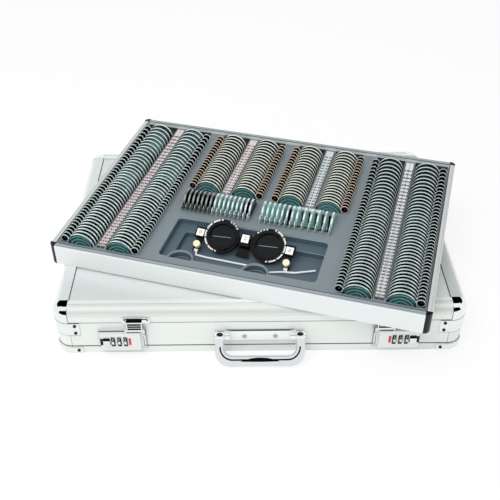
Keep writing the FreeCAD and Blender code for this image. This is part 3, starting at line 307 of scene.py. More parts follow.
class Finish(Graph):
    """A material on the Principled shader."""

    def __init__(self, name, base, metallic=0.0, roughness=0.5, **sockets):
        self.material = bpy.data.materials.new(name)
        self.material.use_nodes = True
        super().__init__(self.material.node_tree)
        self.shader = self.tree.nodes["Principled BSDF"]
        self.material.diffuse_color = rgba(base)
        self.put("Base Color", rgba(base))
        self.put("Metallic", metallic)
        self.put("Roughness", roughness)
        for key, value in sockets.items():
            self.put(key.replace("_", " "), value)

    def put(self, key, value):
        self.feed(self.shader.inputs[key], value)

    def place(self):
        """Object coordinates, in metres."""
        return self.out(self.node("ShaderNodeTexCoord"), "Object")

    def tray_place(self, tray):
        """Object coordinates turned and moved to the tray's own middle."""
        made = self.node("ShaderNodeMapping", {"vector_type": "TEXTURE"}, {
            "Vector": self.place(), "Location": (tray.across, tray.back, tray.above),
            "Rotation": (0, 0, tray.turn)})
        return self.out(made)

    def bump(self, height, strength, distance):
        made = self.node("ShaderNodeBump", None,
                         {"Strength": strength, "Distance": distance, "Height": height})
        self.put("Normal", self.out(made))


def dress(material, *nodes):
    """Gives CAD nodes a material."""
    for name in nodes:
        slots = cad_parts[name].material_slots
        for slot in slots:
            slot.material = material
        if not len(slots):
            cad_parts[name].data.materials.append(material)


# Geometry trees

class Pattern(Graph):
    """A Geometry Nodes tree with named inputs, from which grow() makes plain meshes on a holder that is
    then removed.
    """

    def __init__(self, name, sizes):
        super().__init__(bpy.data.node_groups.new(name, "GeometryNodeTree"))
        face = self.tree.interface
        for label, value in sizes.items():
            kind = "NodeSocketInt" if isinstance(value, int) else "NodeSocketFloat"
            face.new_socket(label, in_out="INPUT", socket_type=kind).default_value = value
        face.new_socket("Geometry", in_out="OUTPUT", socket_type="NodeSocketGeometry")
        self.start = self.tree.nodes.new("NodeGroupInput")
        self.end = self.tree.nodes.new("NodeGroupOutput")

    def size(self, label):
        return self.out(self.start, label)

    def close(self, geometry, material):
        """Ends the tree in real faces with their material."""
        real = self.node("GeometryNodeRealizeInstances", None, {0: geometry})
        made = self.node("GeometryNodeSetMaterial", None,
                         {"Geometry": self.out(real), "Material": material})
        self.feed(self.end.inputs[0], self.out(made))

    def grow(self, **sizes):
        """Evaluates the tree with these sizes and returns a plain mesh."""
        holder = bpy.data.objects.new("pattern_holder", bpy.data.meshes.new("pattern_holder"))
        bpy.context.scene.collection.objects.link(holder)
        modifier = holder.modifiers.new("Pattern", "NODES")
        modifier.node_group = self.tree
        for item in self.tree.interface.items_tree:
            if item.in_out == "INPUT" and item.name in sizes:
                modifier[item.identifier] = sizes[item.name]
        bpy.context.view_layer.update()
        evaluated = holder.evaluated_get(bpy.context.evaluated_depsgraph_get())
        mesh = bpy.data.meshes.new_from_object(evaluated)
        modifier.node_group = None
        bpy.data.objects.remove(holder)
        if not len(mesh.vertices):
            raise RuntimeError("The pattern %s made nothing" % self.tree.name)
        return mesh


def number_line(material):
    """A column of printed numbers, one for each lens place."""
    tree = Pattern("number_line", {
        "Count": 40, "Start": 0.0, "Pitch": 0.0066, "Spread": 0.0, "Power": 4.0, "Side": 0.0,
        "Height": 0.003, "Fine": 16, "Coarse": 28, "Base": 0.25, "Narrow": 0.56,
        "Bold": 0.00036})
    head = tree.tree.nodes.new("GeometryNodeRepeatInput")
    tail = tree.tree.nodes.new("GeometryNodeRepeatOutput")
    head.pair_with_output(tail)
    tree.feed(head.inputs["Iterations"], tree.size("Count"))
    index = tree.out(head, "Iteration")
    step = index + 1
    late = (step - tree.size("Fine")).math("MAXIMUM", 0.0)
    latest = (step - tree.size("Coarse")).math("MAXIMUM", 0.0)
    value = (step + late + latest * 2) * tree.size("Base")
    words = tree.node("FunctionNodeValueToString", None, {"Value": value, "Decimals": 2})
    text = tree.node("GeometryNodeStringToCurves", {"align_x": "CENTER", "align_y": "MIDDLE"},
                     {"String": tree.out(words), "Size": tree.size("Height")})
    real = tree.node("GeometryNodeRealizeInstances", None, {0: tree.out(text)})
    coarse = tree.node("GeometryNodeSetSplineResolution", None,
                       {"Geometry": tree.out(real), "Resolution": 2})
    flat = tree.node("GeometryNodeFillCurve", None, {"Curve": tree.out(coarse)})
    bold = tree.node("GeometryNodeJoinGeometry")
    for x, y in ((-1, -1), (1, 1), (1, -1)):
        stroke = tree.node("GeometryNodeTransform", None, {
            "Geometry": tree.out(flat),
            "Translation": tree.join(tree.size("Bold") * x, tree.size("Bold") * y, 0.0)})
        tree.feed(bold.inputs[0], tree.out(stroke))
    along = (index / (tree.size("Count") - 1)).math("POWER", tree.size("Power"))
    across = tree.size("Start") + tree.size("Pitch") * index + tree.size("Spread") * along
    moved = tree.node("GeometryNodeTransform", None, {
        "Geometry": tree.out(bold), "Translation": tree.join(tree.size("Side"), across, 0.0),
        "Scale": tree.join(tree.size("Narrow"), 1.0, 1.0)})
    joined = tree.node("GeometryNodeJoinGeometry")
    tree.feed(joined.inputs[0], tree.out(head, "Geometry"))
    tree.feed(joined.inputs[0], tree.out(moved))
    tree.feed(tail.inputs["Geometry"], tree.out(joined))
    tree.close(tree.out(tail, "Geometry"), material)
    return tree


def arc_marks(material):
    """Short bars set round an arc."""
    tree = Pattern("arc_marks", {
        "Count": 30, "Radius": 0.02, "From": 0.0, "To": 3.0, "Long": 0.002, "Wide": 0.0004,
        "Thick": 0.0001})
    bar = tree.node("GeometryNodeMeshCube", None, {
        "Size": tree.join(tree.size("Long"), tree.size("Wide"), tree.size("Thick"))})
    points = tree.node("GeometryNodePoints", None, {"Count": tree.size("Count")})
    index = tree.out(tree.node("GeometryNodeInputIndex"))
    turn = tree.size("From") + (tree.size("To") - tree.size("From")) * index / (tree.size("Count") - 1)
    spot = tree.join(turn.math("COSINE") * tree.size("Radius"), turn.math("SINE") * tree.size("Radius"))
    tree.feed(points.inputs["Position"], spot)
    set_out = tree.node("GeometryNodeInstanceOnPoints", None, {
        "Points": tree.out(points), "Instance": tree.out(bar), "Rotation": tree.join(0.0, 0.0, turn)})
    tree.close(tree.out(set_out), material)
    return tree


# Meshes

def piece(name, meshes, body, material=None):
    """Joins meshes with their placements into one piece that rides on a body."""
    shape = bmesh.new()
    materials = []
    for mesh, place in meshes:
        part = mesh.copy()
        part.transform(place)
        for finish in part.materials:
            if finish not in materials:
                materials.append(finish)
        shape.from_mesh(part)
        bpy.data.meshes.remove(part)
    result = bpy.data.meshes.new(name)
    shape.to_mesh(result)
    shape.free()
    result.materials.clear()
    for finish in ([material] if material else materials[:1]):
        result.materials.append(finish)
    thing = bpy.data.objects.new(name, result)
    bpy.context.scene.collection.objects.link(thing)
    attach(thing, body)
    return thing


def words_mesh(text, height, deep=0.00006, bold=0.0):
    """Text as a closed mesh, its middle at the origin."""
    curve = bpy.data.curves.new("words", "FONT")
    curve.body = text
    curve.size = height
    curve.align_x = "CENTER"
    curve.align_y = "CENTER"
    curve.resolution_u = 2
    curve.extrude = deep / 2
    curve.offset = bold
    holder = bpy.data.objects.new("words", curve)
    bpy.context.scene.collection.objects.link(holder)
    bpy.context.view_layer.update()
    mesh = bpy.data.meshes.new_from_object(
        holder.evaluated_get(bpy.context.evaluated_depsgraph_get()))
    bpy.data.objects.remove(holder)
    bpy.data.curves.remove(curve)
    return mesh


def tray_matrix(tray):
    return Matrix.Translation((tray.across, tray.back, tray.above)) @ Matrix.Rotation(tray.turn, 4, "Z")


# Pieces

class LENSCASE_OT_shell(bpy.types.Operator):
    """Finishes the aluminium base and lid with their corners and hinges"""
    bl_idname = "lenscase.shell"
    bl_label = "Case shell"

    def execute(self, context):
        look = context.scene.lens_case_shell
        low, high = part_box("base_rails")
        half_x = (high[0] - low[0]) / 2
        half_y = (high[1] - low[1]) / 2

        rail = Finish("case_profile", look.profile, 0.22, 0.4)
        x, y, z = rail.split(rail.place())
        across = half_x - abs(x)
        along = half_y - abs(y)
        inward = across.least(along)
        sides = across.below(along)
        lines = rail.noise(rail.join(inward * 900, 0.0, z * 900), 1.0, 3.0, 0.6)
        top = z.above(look.parting + look.rounding + 0.008)
        # Painted shade: the side flanges take the shaded flange colour, and the right one is darker
        # still.
        shaded = rail.mix(x.above(0.0), look.flange_side, tuple(0.72 * c for c in look.flange_side))
        tone = rail.mix(sides * top, look.profile, shaded)
        tone = rail.mix(lines * 0.35, tone, tuple(0.82 * c for c in look.profile))
        # Painted shade: a dark line along the bend where the flange meets the rounding.
        shoulder = inward.near(look.rounding + 0.0012, look.line) * top * (1 - sides)
        corner_x = (look.corner - across).most(0.0)
        corner_y = (look.corner - along).most(0.0)
        depth = look.corner - (corner_x * corner_x + corner_y * corner_y).math("SQRT")
        # Painted shade: dark lines in the gap between base and lid, in the groove along the base and
        # where the corner posts meet the rails.
        joint_shade = z.near(look.parting, look.line * 1.2) * depth.below(0.0015)
        joint_shade = joint_shade.most(z.near(look.groove, look.line * 1.1))
        joint_shade = joint_shade.most(across.near(0.0203, look.line * 0.6) * along.below(0.0225) * (1 - top))
        joint_shade = joint_shade.most(along.near(0.0203, look.line * 0.6) * across.below(0.0225) * (1 - top))
        tone = rail.mix(joint_shade * 0.85, tone, look.seam)
        # Painted shade: the lid's rounded shoulder is darkened a little.
        curve = z.above(look.parting + look.rounding - 0.002) * inward.below(look.rounding)
        tone = rail.mix(curve * (1 - sides) * 0.13, tone, look.seam)
        rail.put("Base Color", rail.mix(shoulder * 0.5, tone, look.seam))
        rail.put("Roughness", lines * 0.16 + 0.32)
        rail.bump(lines, 0.12, 0.00006)
        dress(rail.material, "base_rails", "base_corner_posts", "lid_rails")

        panel = Finish("lid_panel", look.panel, 0.4, 0.42)
        x, y, z = panel.split(panel.place())
        across = half_x - abs(x)
        along = half_y - abs(y)
        turn = 2 * math.pi / look.emboss
        ridges = ((x + y) * turn).math("SINE") * ((x - y) * turn).math("SINE")
        # Painted shade: the panel is dark and not metallic under the flange and in a band along its
        # inner edge.
        edge = look.flange + look.seam_wide
        seam = across.below(edge).most(along.below(edge) * 0.35)
        panel.bump(ridges, 0.35, 0.0002)
        panel.put("Base Color", panel.mix(seam, look.panel, look.seam))
        panel.put("Metallic", 0.4 - seam * 0.4)
        panel.put("Roughness", ridges * 0.05 + 0.4)
        dress(panel.material, "lid_top_panel")

        under = Finish("case_panel", tuple(0.8 * c for c in look.profile), 1.0, 0.45)
        dress(under.material, "base_bottom_panel")
        chrome = Finish("polished_chrome", look.chrome, 1.0, 0.06)
        dress(chrome.material, "lid_corner_caps")
        rivet = Finish("rivet_heads", (0.03, 0.03, 0.035), 1.0, 0.2)
        dress(rivet.material, "base_rivets")
        clamp = Finish("satin_clamps", look.profile, 0.8, 0.2)
        x, y, z = clamp.split(clamp.place())
        # Painted shade: dark lines along the edges of the clamps and hinge leaves.
        clamp_edge_shade = z.near(0.0321, 0.0008).most(z.near(0.0528, 0.0006))
        clamp.put("Base Color", clamp.mix(clamp_edge_shade * 0.8, look.profile, look.seam))
        dress(clamp.material, "base_corner_clamps", "hinge_base_leaves", "hinge_lid_leaves")
        foam = Finish("case_foam", look.foam, 0.0, 0.95)
        grain = foam.noise(foam.place(), 900, 2.0)
        foam.bump(grain, 0.5, 0.0004)
        dress(foam.material, "base_lining")
        return {"FINISHED"}


class LENSCASE_OT_locks(bpy.types.Operator):
    """Finishes the two combination locks and prints the digits on their number wheels"""
    bl_idname = "lenscase.locks"
    bl_label = "Combination locks"

    def execute(self, context):
        look = context.scene.lens_case_shell
        low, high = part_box("lock_body_right")
        wheel_low, wheel_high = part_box("dial_right_1")
        far_low, far_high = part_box("dial_right_3")
        button_low, button_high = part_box("button_right")
        face = low[1]
        satin = Finish("lock_satin", look.satin, 0.5, 0.3)
        x, y, z = satin.split(satin.place())
        out = abs(x)
        side = 0.0009
        # Painted shade: the windows round the number wheels are dark and not metallic.
        inside = out.between(wheel_low[0] - side, button_high[0] + 0.004) \
            * z.between(wheel_low[2] - side, wheel_high[2] + side) * y.above(face + 0.0002)
        # Painted shade: dark lines along the housing's outline, the edge of its top ledge and the step
        # of its plate.
        rim = (out - low[0]).least(high[0] - out).least(z - low[2]).below(0.0006)
        ledge_shade = z.above(0.0404) * z.below(0.0412) * y.above(face + 0.0034)
        outline_shade = out.near(low[0] + 0.0034, 0.0009) * z.between(0.0150, 0.0375)
        ends = out.between(low[0] + 0.0010, low[0] + 0.0042)
        outline_shade = outline_shade.most(ends * z.near(0.0142, 0.0018)).most(ends * z.near(0.0386, 0.0018))
        lines = rim.most(ledge_shade).most(outline_shade)
        tone = satin.mix(lines * 0.85, look.satin, look.seam)
        satin.put("Base Color", satin.mix(inside, tone, look.hollow))
        satin.put("Metallic", 0.5 - inside * 0.5)
        dress(satin.material, "lock_body_left", "lock_body_right")
        knob = Finish("lock_button", look.satin, 1.0, 0.16)
        x, y, z = knob.split(knob.place())
        # Painted shade: the button's top and its part set back in the housing are dark.
        top = z.above(button_high[2] - 0.0022).most(y.above(button_low[1] + 0.0016))
        knob.put("Base Color", knob.mix(top, look.satin, look.hollow))
        dress(knob.material, "button_left", "button_right")
        red = Finish("red_marker", look.marker, 0.0, 0.35)
        dress(red.material, "lock_markers")

        low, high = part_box("hasp_right")
        hasp = Finish("hasp_chrome", look.chrome, 1.0, 0.1)
        x, y, z = hasp.split(hasp.place())
        # Painted shade: the hasp's three grooves and its top edge are dark, and the grooves are not
        # metallic.
        groove = z.near(0.0479, 0.0032).most(z.near(0.0518, 0.0030)).most(z.near(0.0556, 0.0032))
        groove = groove * y.below(low[1] + 0.0012) * abs(abs(x) - (low[0] + high[0]) / 2).below(0.0087)
        top = z.above(high[2] - 0.0008)
        hasp.put("Base Color", hasp.mix(groove.most(top), look.chrome, look.hollow))
        hasp.put("Metallic", 1 - groove)
        dress(hasp.material, "hasp_left", "hasp_right")
        keeper = Finish("keeper_chrome", look.chrome, 1.0, 0.1)
        x, y, z = keeper.split(keeper.place())
        low_k, high_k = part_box("lid_keepers")
        # Painted shade: the keeper's hood is dark, standing in for the shade under it.
        hood_shade = z.near(high[2] + 0.0010, 0.0017) * abs(abs(x) - high_k[0] + 0.018).below(0.0155)
        keeper.put("Base Color", keeper.mix(hood_shade, look.chrome, look.hollow))
        dress(keeper.material, "lid_keepers")

        wheel = Finish("number_wheel", look.wheel, 0.0, 0.3)
        x, y, z = wheel.split(wheel.place())
        # Painted shade: dark bands at the ends of each wheel, for the shade in the gaps between wheels.
        ends = x * 0
        for k in (1, 2, 3):
            ends = ends.most(abs(abs(x) - (wheel_low[0] + wheel_high[0]) / 2
                                 - (k - 1) * (far_low[0] - wheel_low[0]) / 2).near(0.0022, 0.0016))
        wheel.put("Base Color", wheel.mix(ends, look.wheel, look.hollow))
        ink = Finish("wheel_ink", look.hollow, 0.0, 0.5)
        for side in ("left", "right"):
            for k in (1, 2, 3):
                name = "dial_%s_%d" % (side, k)
                dress(wheel.material, name)
                low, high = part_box(name)
                middle = (Vector(low) + Vector(high)) / 2
                reach = (high[2] - low[2]) / 2
                digits = []
                for digit in range(10):
                    flat = words_mesh(str(digit), look.digit, 0.00016, 0.0003)
                    for vertex in flat.vertices:
                        rise, out = vertex.co.y / reach, reach + vertex.co.z + 0.00008
                        vertex.co = (vertex.co.x, -out * math.cos(rise), out * math.sin(rise))
                    turn = Matrix.Rotation(math.radians(36 * (digit + 6.5) + 90), 4, "X")
                    digits.append((flat, Matrix.Translation(middle) @ turn))
                piece("digits_%s_%d" % (side, k), digits, name, ink.material)
        return {"FINISHED"}


class LENSCASE_OT_handle(bpy.types.Operator):
    """Finishes the bail handle, its brackets and its backing plate"""
    bl_idname = "lenscase.handle"
    bl_label = "Handle"

    def execute(self, context):
        look = context.scene.lens_case_shell
        chrome = Finish("handle_chrome", look.chrome, 0.6, 0.2)
        dress(chrome.material, "handle_brackets")
        bail = Finish("handle_bail", look.chrome, 0.25, 0.25)
        x, y, z = bail.split(bail.place())
        out = abs(x)
        drop = (look.pivot_y - y) * math.sin(look.lean) + (look.pivot_z - z) * math.cos(look.lean)
        bend_x = (out - look.grip_half + look.grip_bend).most(0.0)
        bend_z = (drop - look.grip_drop + look.grip_bend).most(0.0)
        inside = (bend_x * bend_x + bend_z * bend_z).math("SQRT") - look.grip_bend
        middle = drop - look.grip_drop
        # Painted reflection: a dark band along the grip's inner side and a dark line along its bend.
        # Painted shade: a fine dark line along its inner edge and dark spots at the pivot eyes.
        bow = abs(middle - 0.0048 - out * out * 3.4) + out * out * 4.2
        reflection_band = bow.below(0.0028)
        line = inside.near(0.0050, 0.0021) * drop.above(0.014) * out.above(0.017)
        fine_shade = inside.near(0.0008, 0.0008) * drop.above(0.006) * 0.55
        eye_x = (out - 0.0515) / 0.0044
        eye_z = (drop + 0.0022) / 0.0023
        eye = (eye_x * eye_x + eye_z * eye_z).below(1.0)
        dark = reflection_band.most(line).most(fine_shade).most(eye)
        bail.put("Base Color", bail.mix(dark, look.chrome, look.hollow))
        dress(bail.material, "handle_bail")
        low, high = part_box("handle_plate")
        bright = tuple(1.12 * c for c in look.profile)
        plate = Finish("handle_plate", bright, 0.1, 0.2)
        x, y, z = plate.split(plate.place())
        lines = plate.noise(plate.join(0.0, 0.0, z * 1500), 1.0, 2.0)
        # Painted shade: a dark line along the plate's top edge, and a partial darkening of its
        # front-most millimetre.
        edge = z.above(high[2] - 0.0011).most(y.below(low[1] + 0.0010) * 0.6)
        plate.put("Base Color", plate.mix(edge, bright, look.seam))
        plate.put("Roughness", lines * 0.16 + 0.14)
        dress(plate.material, "handle_plate")
        return {"FINISHED"}


class LENSCASE_OT_tray(bpy.types.Operator):
    """Finishes the tray's walls, caps, beds and well"""
    bl_idname = "lenscase.tray"
    bl_label = "Tray"

    def execute(self, context):
        look = context.scene.lens_case_tray
        wall = Finish("tray_wall", look.wall, 0.0, 0.38)
        x, y, z = wall.split(wall.tray_place(look))
        across = look.half_wide - abs(x)
        along = look.half_deep - abs(y)
        inward = across.least(along)
        top = z.above(0.0295)
        ends = along.below(across) * top
        tone = wall.mix(top, look.wall, tuple(0.72 * c for c in look.wall))
        tone = wall.mix(ends, tone, look.rim)
        # Painted shade: a faint dark line along the wall tops, and the tops further in than 7 mm dark.
        fine_shade = inward.near(0.0024, 0.0006) * 0.35
        fine_shade = fine_shade.most(inward.above(0.0070)) * top
        wall.put("Base Color", wall.mix(fine_shade, tone, look.slot))
        dress(wall.material, "tray_walls")
        cap = Finish("corner_cap", look.cap, 0.0, 0.3, Specular_IOR_Level=0.3)
        dress(cap.material, "tray_corner_caps")
        floor = Finish("tray_floor", look.bed, 0.0, 0.6)
        dress(floor.material, "tray_floor")

        bed = Finish("bed_moulding", look.bed, 0.0, 0.55)
        x, y, z = bed.split(bed.tray_place(look))
        out = abs(x)
        # Painted shade: the bed is dark in the slots under the lenses.
        slots = x * 0
        for near, far, first in ((0.1940, 0.2420, -0.1575), (0.1355, 0.1780, -0.1575),
                                 (0.0700, 0.1125, 0.0075), (0.0115, 0.0540, 0.0075)):
            slots = slots.most(out.between(near, far) * y.above(first))
        slots = slots.most(y.between(-0.0415, -0.0035) * x.between(-0.1095, -0.0135))
        slots = slots.most(y.between(-0.0415, -0.0035) * x.between(0.0045, 0.1025))
        grain = bed.noise(bed.place(), 1400, 2.0)
        bed.bump(grain, 0.15, 0.0001)
        bed.put("Base Color", bed.mix(slots, look.bed, look.slot))
        dress(bed.material, "tray_lens_beds")

        well = Finish("well_moulding", look.well, 0.0, 0.5)
        x, y, z = well.split(well.tray_place(look))
        # Painted shade: only the well's top takes the bed colour; below it the darker well colour
        # stands for the shade in the recess.
        rim = z.above(0.0246)
        # Painted highlight: lighter lines along the well's shelf edges.
        edge = z.between(0.0226, 0.0252).most(z.between(0.0138, 0.0149))
        grain = well.noise(well.place(), 1400, 2.0)
        well.bump(grain, 0.15, 0.0001)
        tone = well.mix(edge * 0.8, look.well, tuple(min(1, 2.6 * c) for c in look.bed))
        well.put("Base Color", well.mix(rim, tone, look.bed))
        dress(well.material, "tray_frame_well")

        card = Finish("label_card", look.card_warm, 0.0, 0.5)
        x, y, z = card.split(card.tray_place(look))
        cool = x.above(0.0)
        pale = x.above(0.12)
        tone = card.mix(cool, look.card_warm, look.card_cool)
        tone = card.mix(pale, tone, look.card_pale)
        long_strip = abs(abs(x) - 0.186)
        short_strip = abs(abs(x) - 0.062)
        # Painted shade: dark lines along the strips' edges; a dark line also runs down the middle of
        # the long strips.
        edge = long_strip.near(0.0062, 0.0011).most(short_strip.near(0.0062, 0.0009))
        edge = edge.most(long_strip.below(0.0003))
        card.put("Base Color", card.mix(edge * 0.8, tone, look.ink))
        dress(card.material, "label_strips")
        return {"FINISHED"}


class LENSCASE_OT_numbers(bpy.types.Operator):
    """Prints the lens powers on the label strips"""
    bl_idname = "lenscase.numbers"
    bl_label = "Printed numbers"

    def execute(self, context):
        look = context.scene.lens_case_tray
        ink = Finish("strip_ink", look.ink, 0.0, 0.6)
        line = number_line(ink.material)
        low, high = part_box("label_strips")
        rise = Matrix.Translation((0, 0, high[2] - look.above - 0.6 * MM + 0.00006))
        sheets = []
        for middle, height, bold in ((-0.186, look.number, 0.36), (0.186, 1.1 * look.number, 0.45)):
            for side in (-0.0031, 0.0031):
                mesh = line.grow(Count=40, Start=-0.157 + 0.0012, Pitch=0.0066, Spread=0.042 * 0.9,
                                 Side=middle + side, Height=height, Bold=bold * MM)
                sheets.append((mesh, tray_matrix(look) @ rise))
        for middle in (-0.062, 0.062):
            for side in (-0.0031, 0.0031):
                mesh = line.grow(Count=19, Start=0.0092, Pitch=0.007, Spread=0.009, Power=3.0,
                                 Side=middle + side, Height=look.number)
                sheets.append((mesh, tray_matrix(look) @ rise))
        piece("strip_numbers", sheets, "tray", ink.material)
        return {"FINISHED"}


def row_radius(graph, x, z, middles, height):
    """Distance from the middle line of the nearest lens row."""
    out = abs(x)
    apart = abs(out - middles[0])
    for middle in middles[1:]:
        apart = apart.least(abs(out - middle))
    rise = z - height
    return (apart * apart + rise * rise).math("SQRT")


def tab_hole(graph, x, z, middles):
    """Painted shade: the dark recess in the handles of the nearest lens row, with its bright middle
    left out.
    """
    reach = row_radius(graph, x, z, middles, 0.03135)
    return reach.between(0.0011, 0.0047)


class LENSCASE_OT_lenses(bpy.types.Operator):
    """Finishes the lens rims, their handles and the glass"""
    bl_idname = "lenscase.lenses"
    bl_label = "Trial lenses"

    def execute(self, context):
        look = context.scene.lens_case_tray
        height = 0.023
        silver = Finish("silver_rim", look.silver, 0.35, 0.25)
        x, y, z = silver.split(silver.tray_place(look))
        reach = row_radius(silver, x, z, (0.2135, 0.1585), height)
        # Painted reflection: the rim faces are near black. Painted shade: the rims of the right rows
        # are a little darker, and the handles' recess is dark.
        face = reach.below(0.0187)
        metal = silver.mix(x.above(0.12) * 0.2, look.silver, look.slot)
        tone = silver.mix(face, metal, look.rim_face)
        hole_shade = tab_hole(silver, x, z, (0.23643, 0.13557))
        silver.put("Base Color", silver.mix(hole_shade, tone, look.slot))
        silver.put("Metallic", face.most(hole_shade) * 0.65 + 0.35)
        dress(silver.material, "lens_rims_sphere_left", "lens_rims_sphere_right",
              "lens_rims_front_right")

        gold = Finish("gold_rim", look.gold, 0.35, 0.25)
        x, y, z = gold.split(gold.tray_place(look))
        reach = row_radius(gold, x, z, (0.0895, 0.0345), height)
        # Painted reflection: the rim faces are near black. Painted shade: the handles' recess is dark.
        face = reach.below(0.0187)
        tone = gold.mix(face, look.gold, look.rim_face)
        tone = gold.mix(reach.above(0.0196), tone, look.copper)
        hole_shade = tab_hole(gold, x, z, (0.11243, 0.01157))
        gold.put("Base Color", gold.mix(hole_shade, tone, look.tab_hole))
        gold.put("Metallic", face.most(hole_shade) * 0.65 + 0.35)
        dress(gold.material, "lens_rims_cylinder")

        cross = Finish("cross_rim", look.silver, 0.5, 0.25)
        x, y, z = cross.split(cross.tray_place(look))
        apart = y + 0.022
        rise = z - height
        face = (apart * apart + rise * rise).math("SQRT").below(0.0187)
        green = x.above(-0.1095 + 0.0064 * 6.5) * x.below(-0.1095 + 0.0064 * 13.5)
        green = green.most(x.above(0.0))
        # Painted shade: the rims of the dark discs are darkened and the rim faces take the shade
        # colour; in the green rows the faces take the coloured glass.
        metal = cross.mix(x.below(-0.1095 + 0.0064 * 6.5) * 0.6, look.silver, look.slot)
        tone = cross.mix(face, metal, look.slot)
        cross.put("Base Color", cross.mix(face * green, tone, look.glass_deep))
        dress(cross.material, "lens_rims_cross_left", "lens_rims_cross_right")

        for name, places, sheen_amount in (("lens_glass_left", ("lens_glass_sphere_left",), 1.0),
                                     ("lens_glass", ("lens_glass_sphere_right", "lens_glass_cylinder",
                                                     "lens_glass_front_right"), 0.2)):
            clear = Finish(name, look.glass, 0.0, 0.04, Alpha=0.55, Specular_IOR_Level=0.25)
            x, y, z = clear.split(clear.tray_place(look))
            # Painted sheen: light patches of reflection on the upper part of the lenses, strongest on
            # the left sphere rows.
            sheen_patch = clear.noise(clear.join(x, y * 1.4, z), 26, 2.0, 0.5)
            glow = ((sheen_patch - 0.34) * 3.2).most(0.0) * y.between(-0.04, 0.2) * sheen_amount
            # Painted light: the first lens of each row is lighter, with painted lighter rings of the
            # rims behind it.
            front = y.below(-0.1552).most(y.between(0.0, 0.0096))
            lines = ((row_radius(clear, x, z, (0.2135, 0.1585, 0.0895, 0.0345), height - 0.005)
                      * 1310).math("SINE") * 0.5 + 0.5) * front
            tone = clear.mix(glow.least(1.0), look.glass, look.glass_sheen)
            clear.put("Base Color", clear.mix(lines, tone, look.glass_front))
            dress(clear.material, *places)

        left = Finish("cross_discs_left", look.glass_deep, 0.0, 0.15)
        x, y, z = left.split(left.tray_place(look))
        dark = x.below(-0.1095 + 0.0064 * 6.5)
        violet = x.above(-0.1095 + 0.0064 * 13.5)
        tone = left.mix(dark, look.glass_deep, look.slot)
        left.put("Base Color", left.mix(violet, tone, shade(38, 32, 48)))
        dress(left.material, "lens_glass_cross_left")
        right = Finish("cross_discs_right", look.glass_deep, 0.0, 0.12)
        x, y, z = right.split(right.tray_place(look))
        prism = x.above(0.0045 + 0.007 * 7.5)
        black = x.between(0.0045 + 0.007 * 4.5, 0.0045 + 0.007 * 5.5)
        tone = right.mix(prism, look.glass_deep, shade(196, 232, 222))
        right.put("Base Color", right.mix(black, tone, look.slot))
        # Painted light: the discs glow faintly in their colour, standing in for light passing through
        # them; the black disc does not.
        right.put("Emission Color", right.mix(black, look.glass_deep, look.slot))
        right.put("Emission Strength", 0.08)
        dress(right.material, "lens_glass_cross_right")
        return {"FINISHED"}


class LENSCASE_OT_trial_frame(bpy.types.Operator):
    """Finishes the trial frame and marks its degree scales"""
    bl_idname = "lenscase.trial_frame"
    bl_label = "Trial frame"

    def execute(self, context):
        look = context.scene.lens_case_frame
        tray = context.scene.lens_case_tray
        black = Finish("frame_black", look.black, 0.0, 0.25, Specular_IOR_Level=0.2)
        dress(black.material, "tf_bridge", "tf_holder_left", "tf_holder_right", "tf_rotor_left",
              "tf_rotor_right")
        white = Finish("scale_white", look.white, 0.0, 0.35)
        dress(white.material, "tf_scale_left", "tf_scale_right", "tf_bridge_label")
        cream = Finish("knob_cream", look.cream, 0.0, 0.3)
        dress(cream.material, "tf_knob_left", "tf_knob_right")
        metal = Finish("temple_metal", look.metal, 0.2, 0.2)
        dress(metal.material, "tf_temple_left", "tf_temple_right")

        face = tray_matrix(tray) @ Matrix.Translation((look.bridge_u, look.bridge_v, look.bridge_w)) \
            @ Matrix.Rotation(look.lean, 4, "X") @ Matrix.Rotation(look.roll, 4, "Z")
        ink = Finish("scale_ink", look.black, 0.0, 0.5)
        ticks = arc_marks(ink.material)
        for side, sign in (("left", -1), ("right", 1)):
            dark = Finish("frame_lens_%s" % side, look.lens, 0.0, 0.04, Alpha=0.96,
                          Specular_IOR_Level=0.2)
            eye = face @ Matrix.Translation((sign * look.eye, 0, 0))
            made = dark.node("ShaderNodeMapping", {"vector_type": "TEXTURE"}, {
                "Vector": dark.place(), "Location": eye.translation, "Rotation": eye.to_euler()})
            x, y, z = dark.split(dark.out(made))
            # Painted highlight: a thin light line across each dark lens.
            line = (y - x * 0.1 + 0.001).near(0.0, 0.0008) * abs(x).below(0.0125)
            dark.put("Base Color", dark.mix(line * 0.28, look.lens, look.metal))
            dress(dark.material, "tf_lens_%s" % side)
            first = 100 if sign < 0 else -85
            short = 35 if sign < 0 else 105
            marks = []
            for start, sweep, count in ((first, 165, 34), (short, 38, 9)):
                mesh = ticks.grow(Count=count, Radius=look.scale_in + 0.0006,
                                  From=math.radians(start + 2), To=math.radians(start + sweep - 2),
                                  Long=0.0011, Wide=0.0009, Thick=0.00014)
                marks.append((mesh, eye @ Matrix.Translation((0, 0, 0.00257))))
                mesh = ticks.grow(Count=max(3, count // 5), Radius=look.scale_in + 0.0012,
                                  From=math.radians(start + 8), To=math.radians(start + sweep - 8),
                                  Long=0.0019, Wide=0.0022, Thick=0.00012)
                marks.append((mesh, eye @ Matrix.Translation((0, 0, 0.00257))))
            plate = face @ Matrix.Translation((sign * look.plate, -0.0015, 0.00357))
            marks.append((words_mesh("0", 0.0072, 0.00014), plate))
            piece("scale_marks_%s" % side, marks, "half_%s" % side, ink.material)
        return {"FINISHED"}


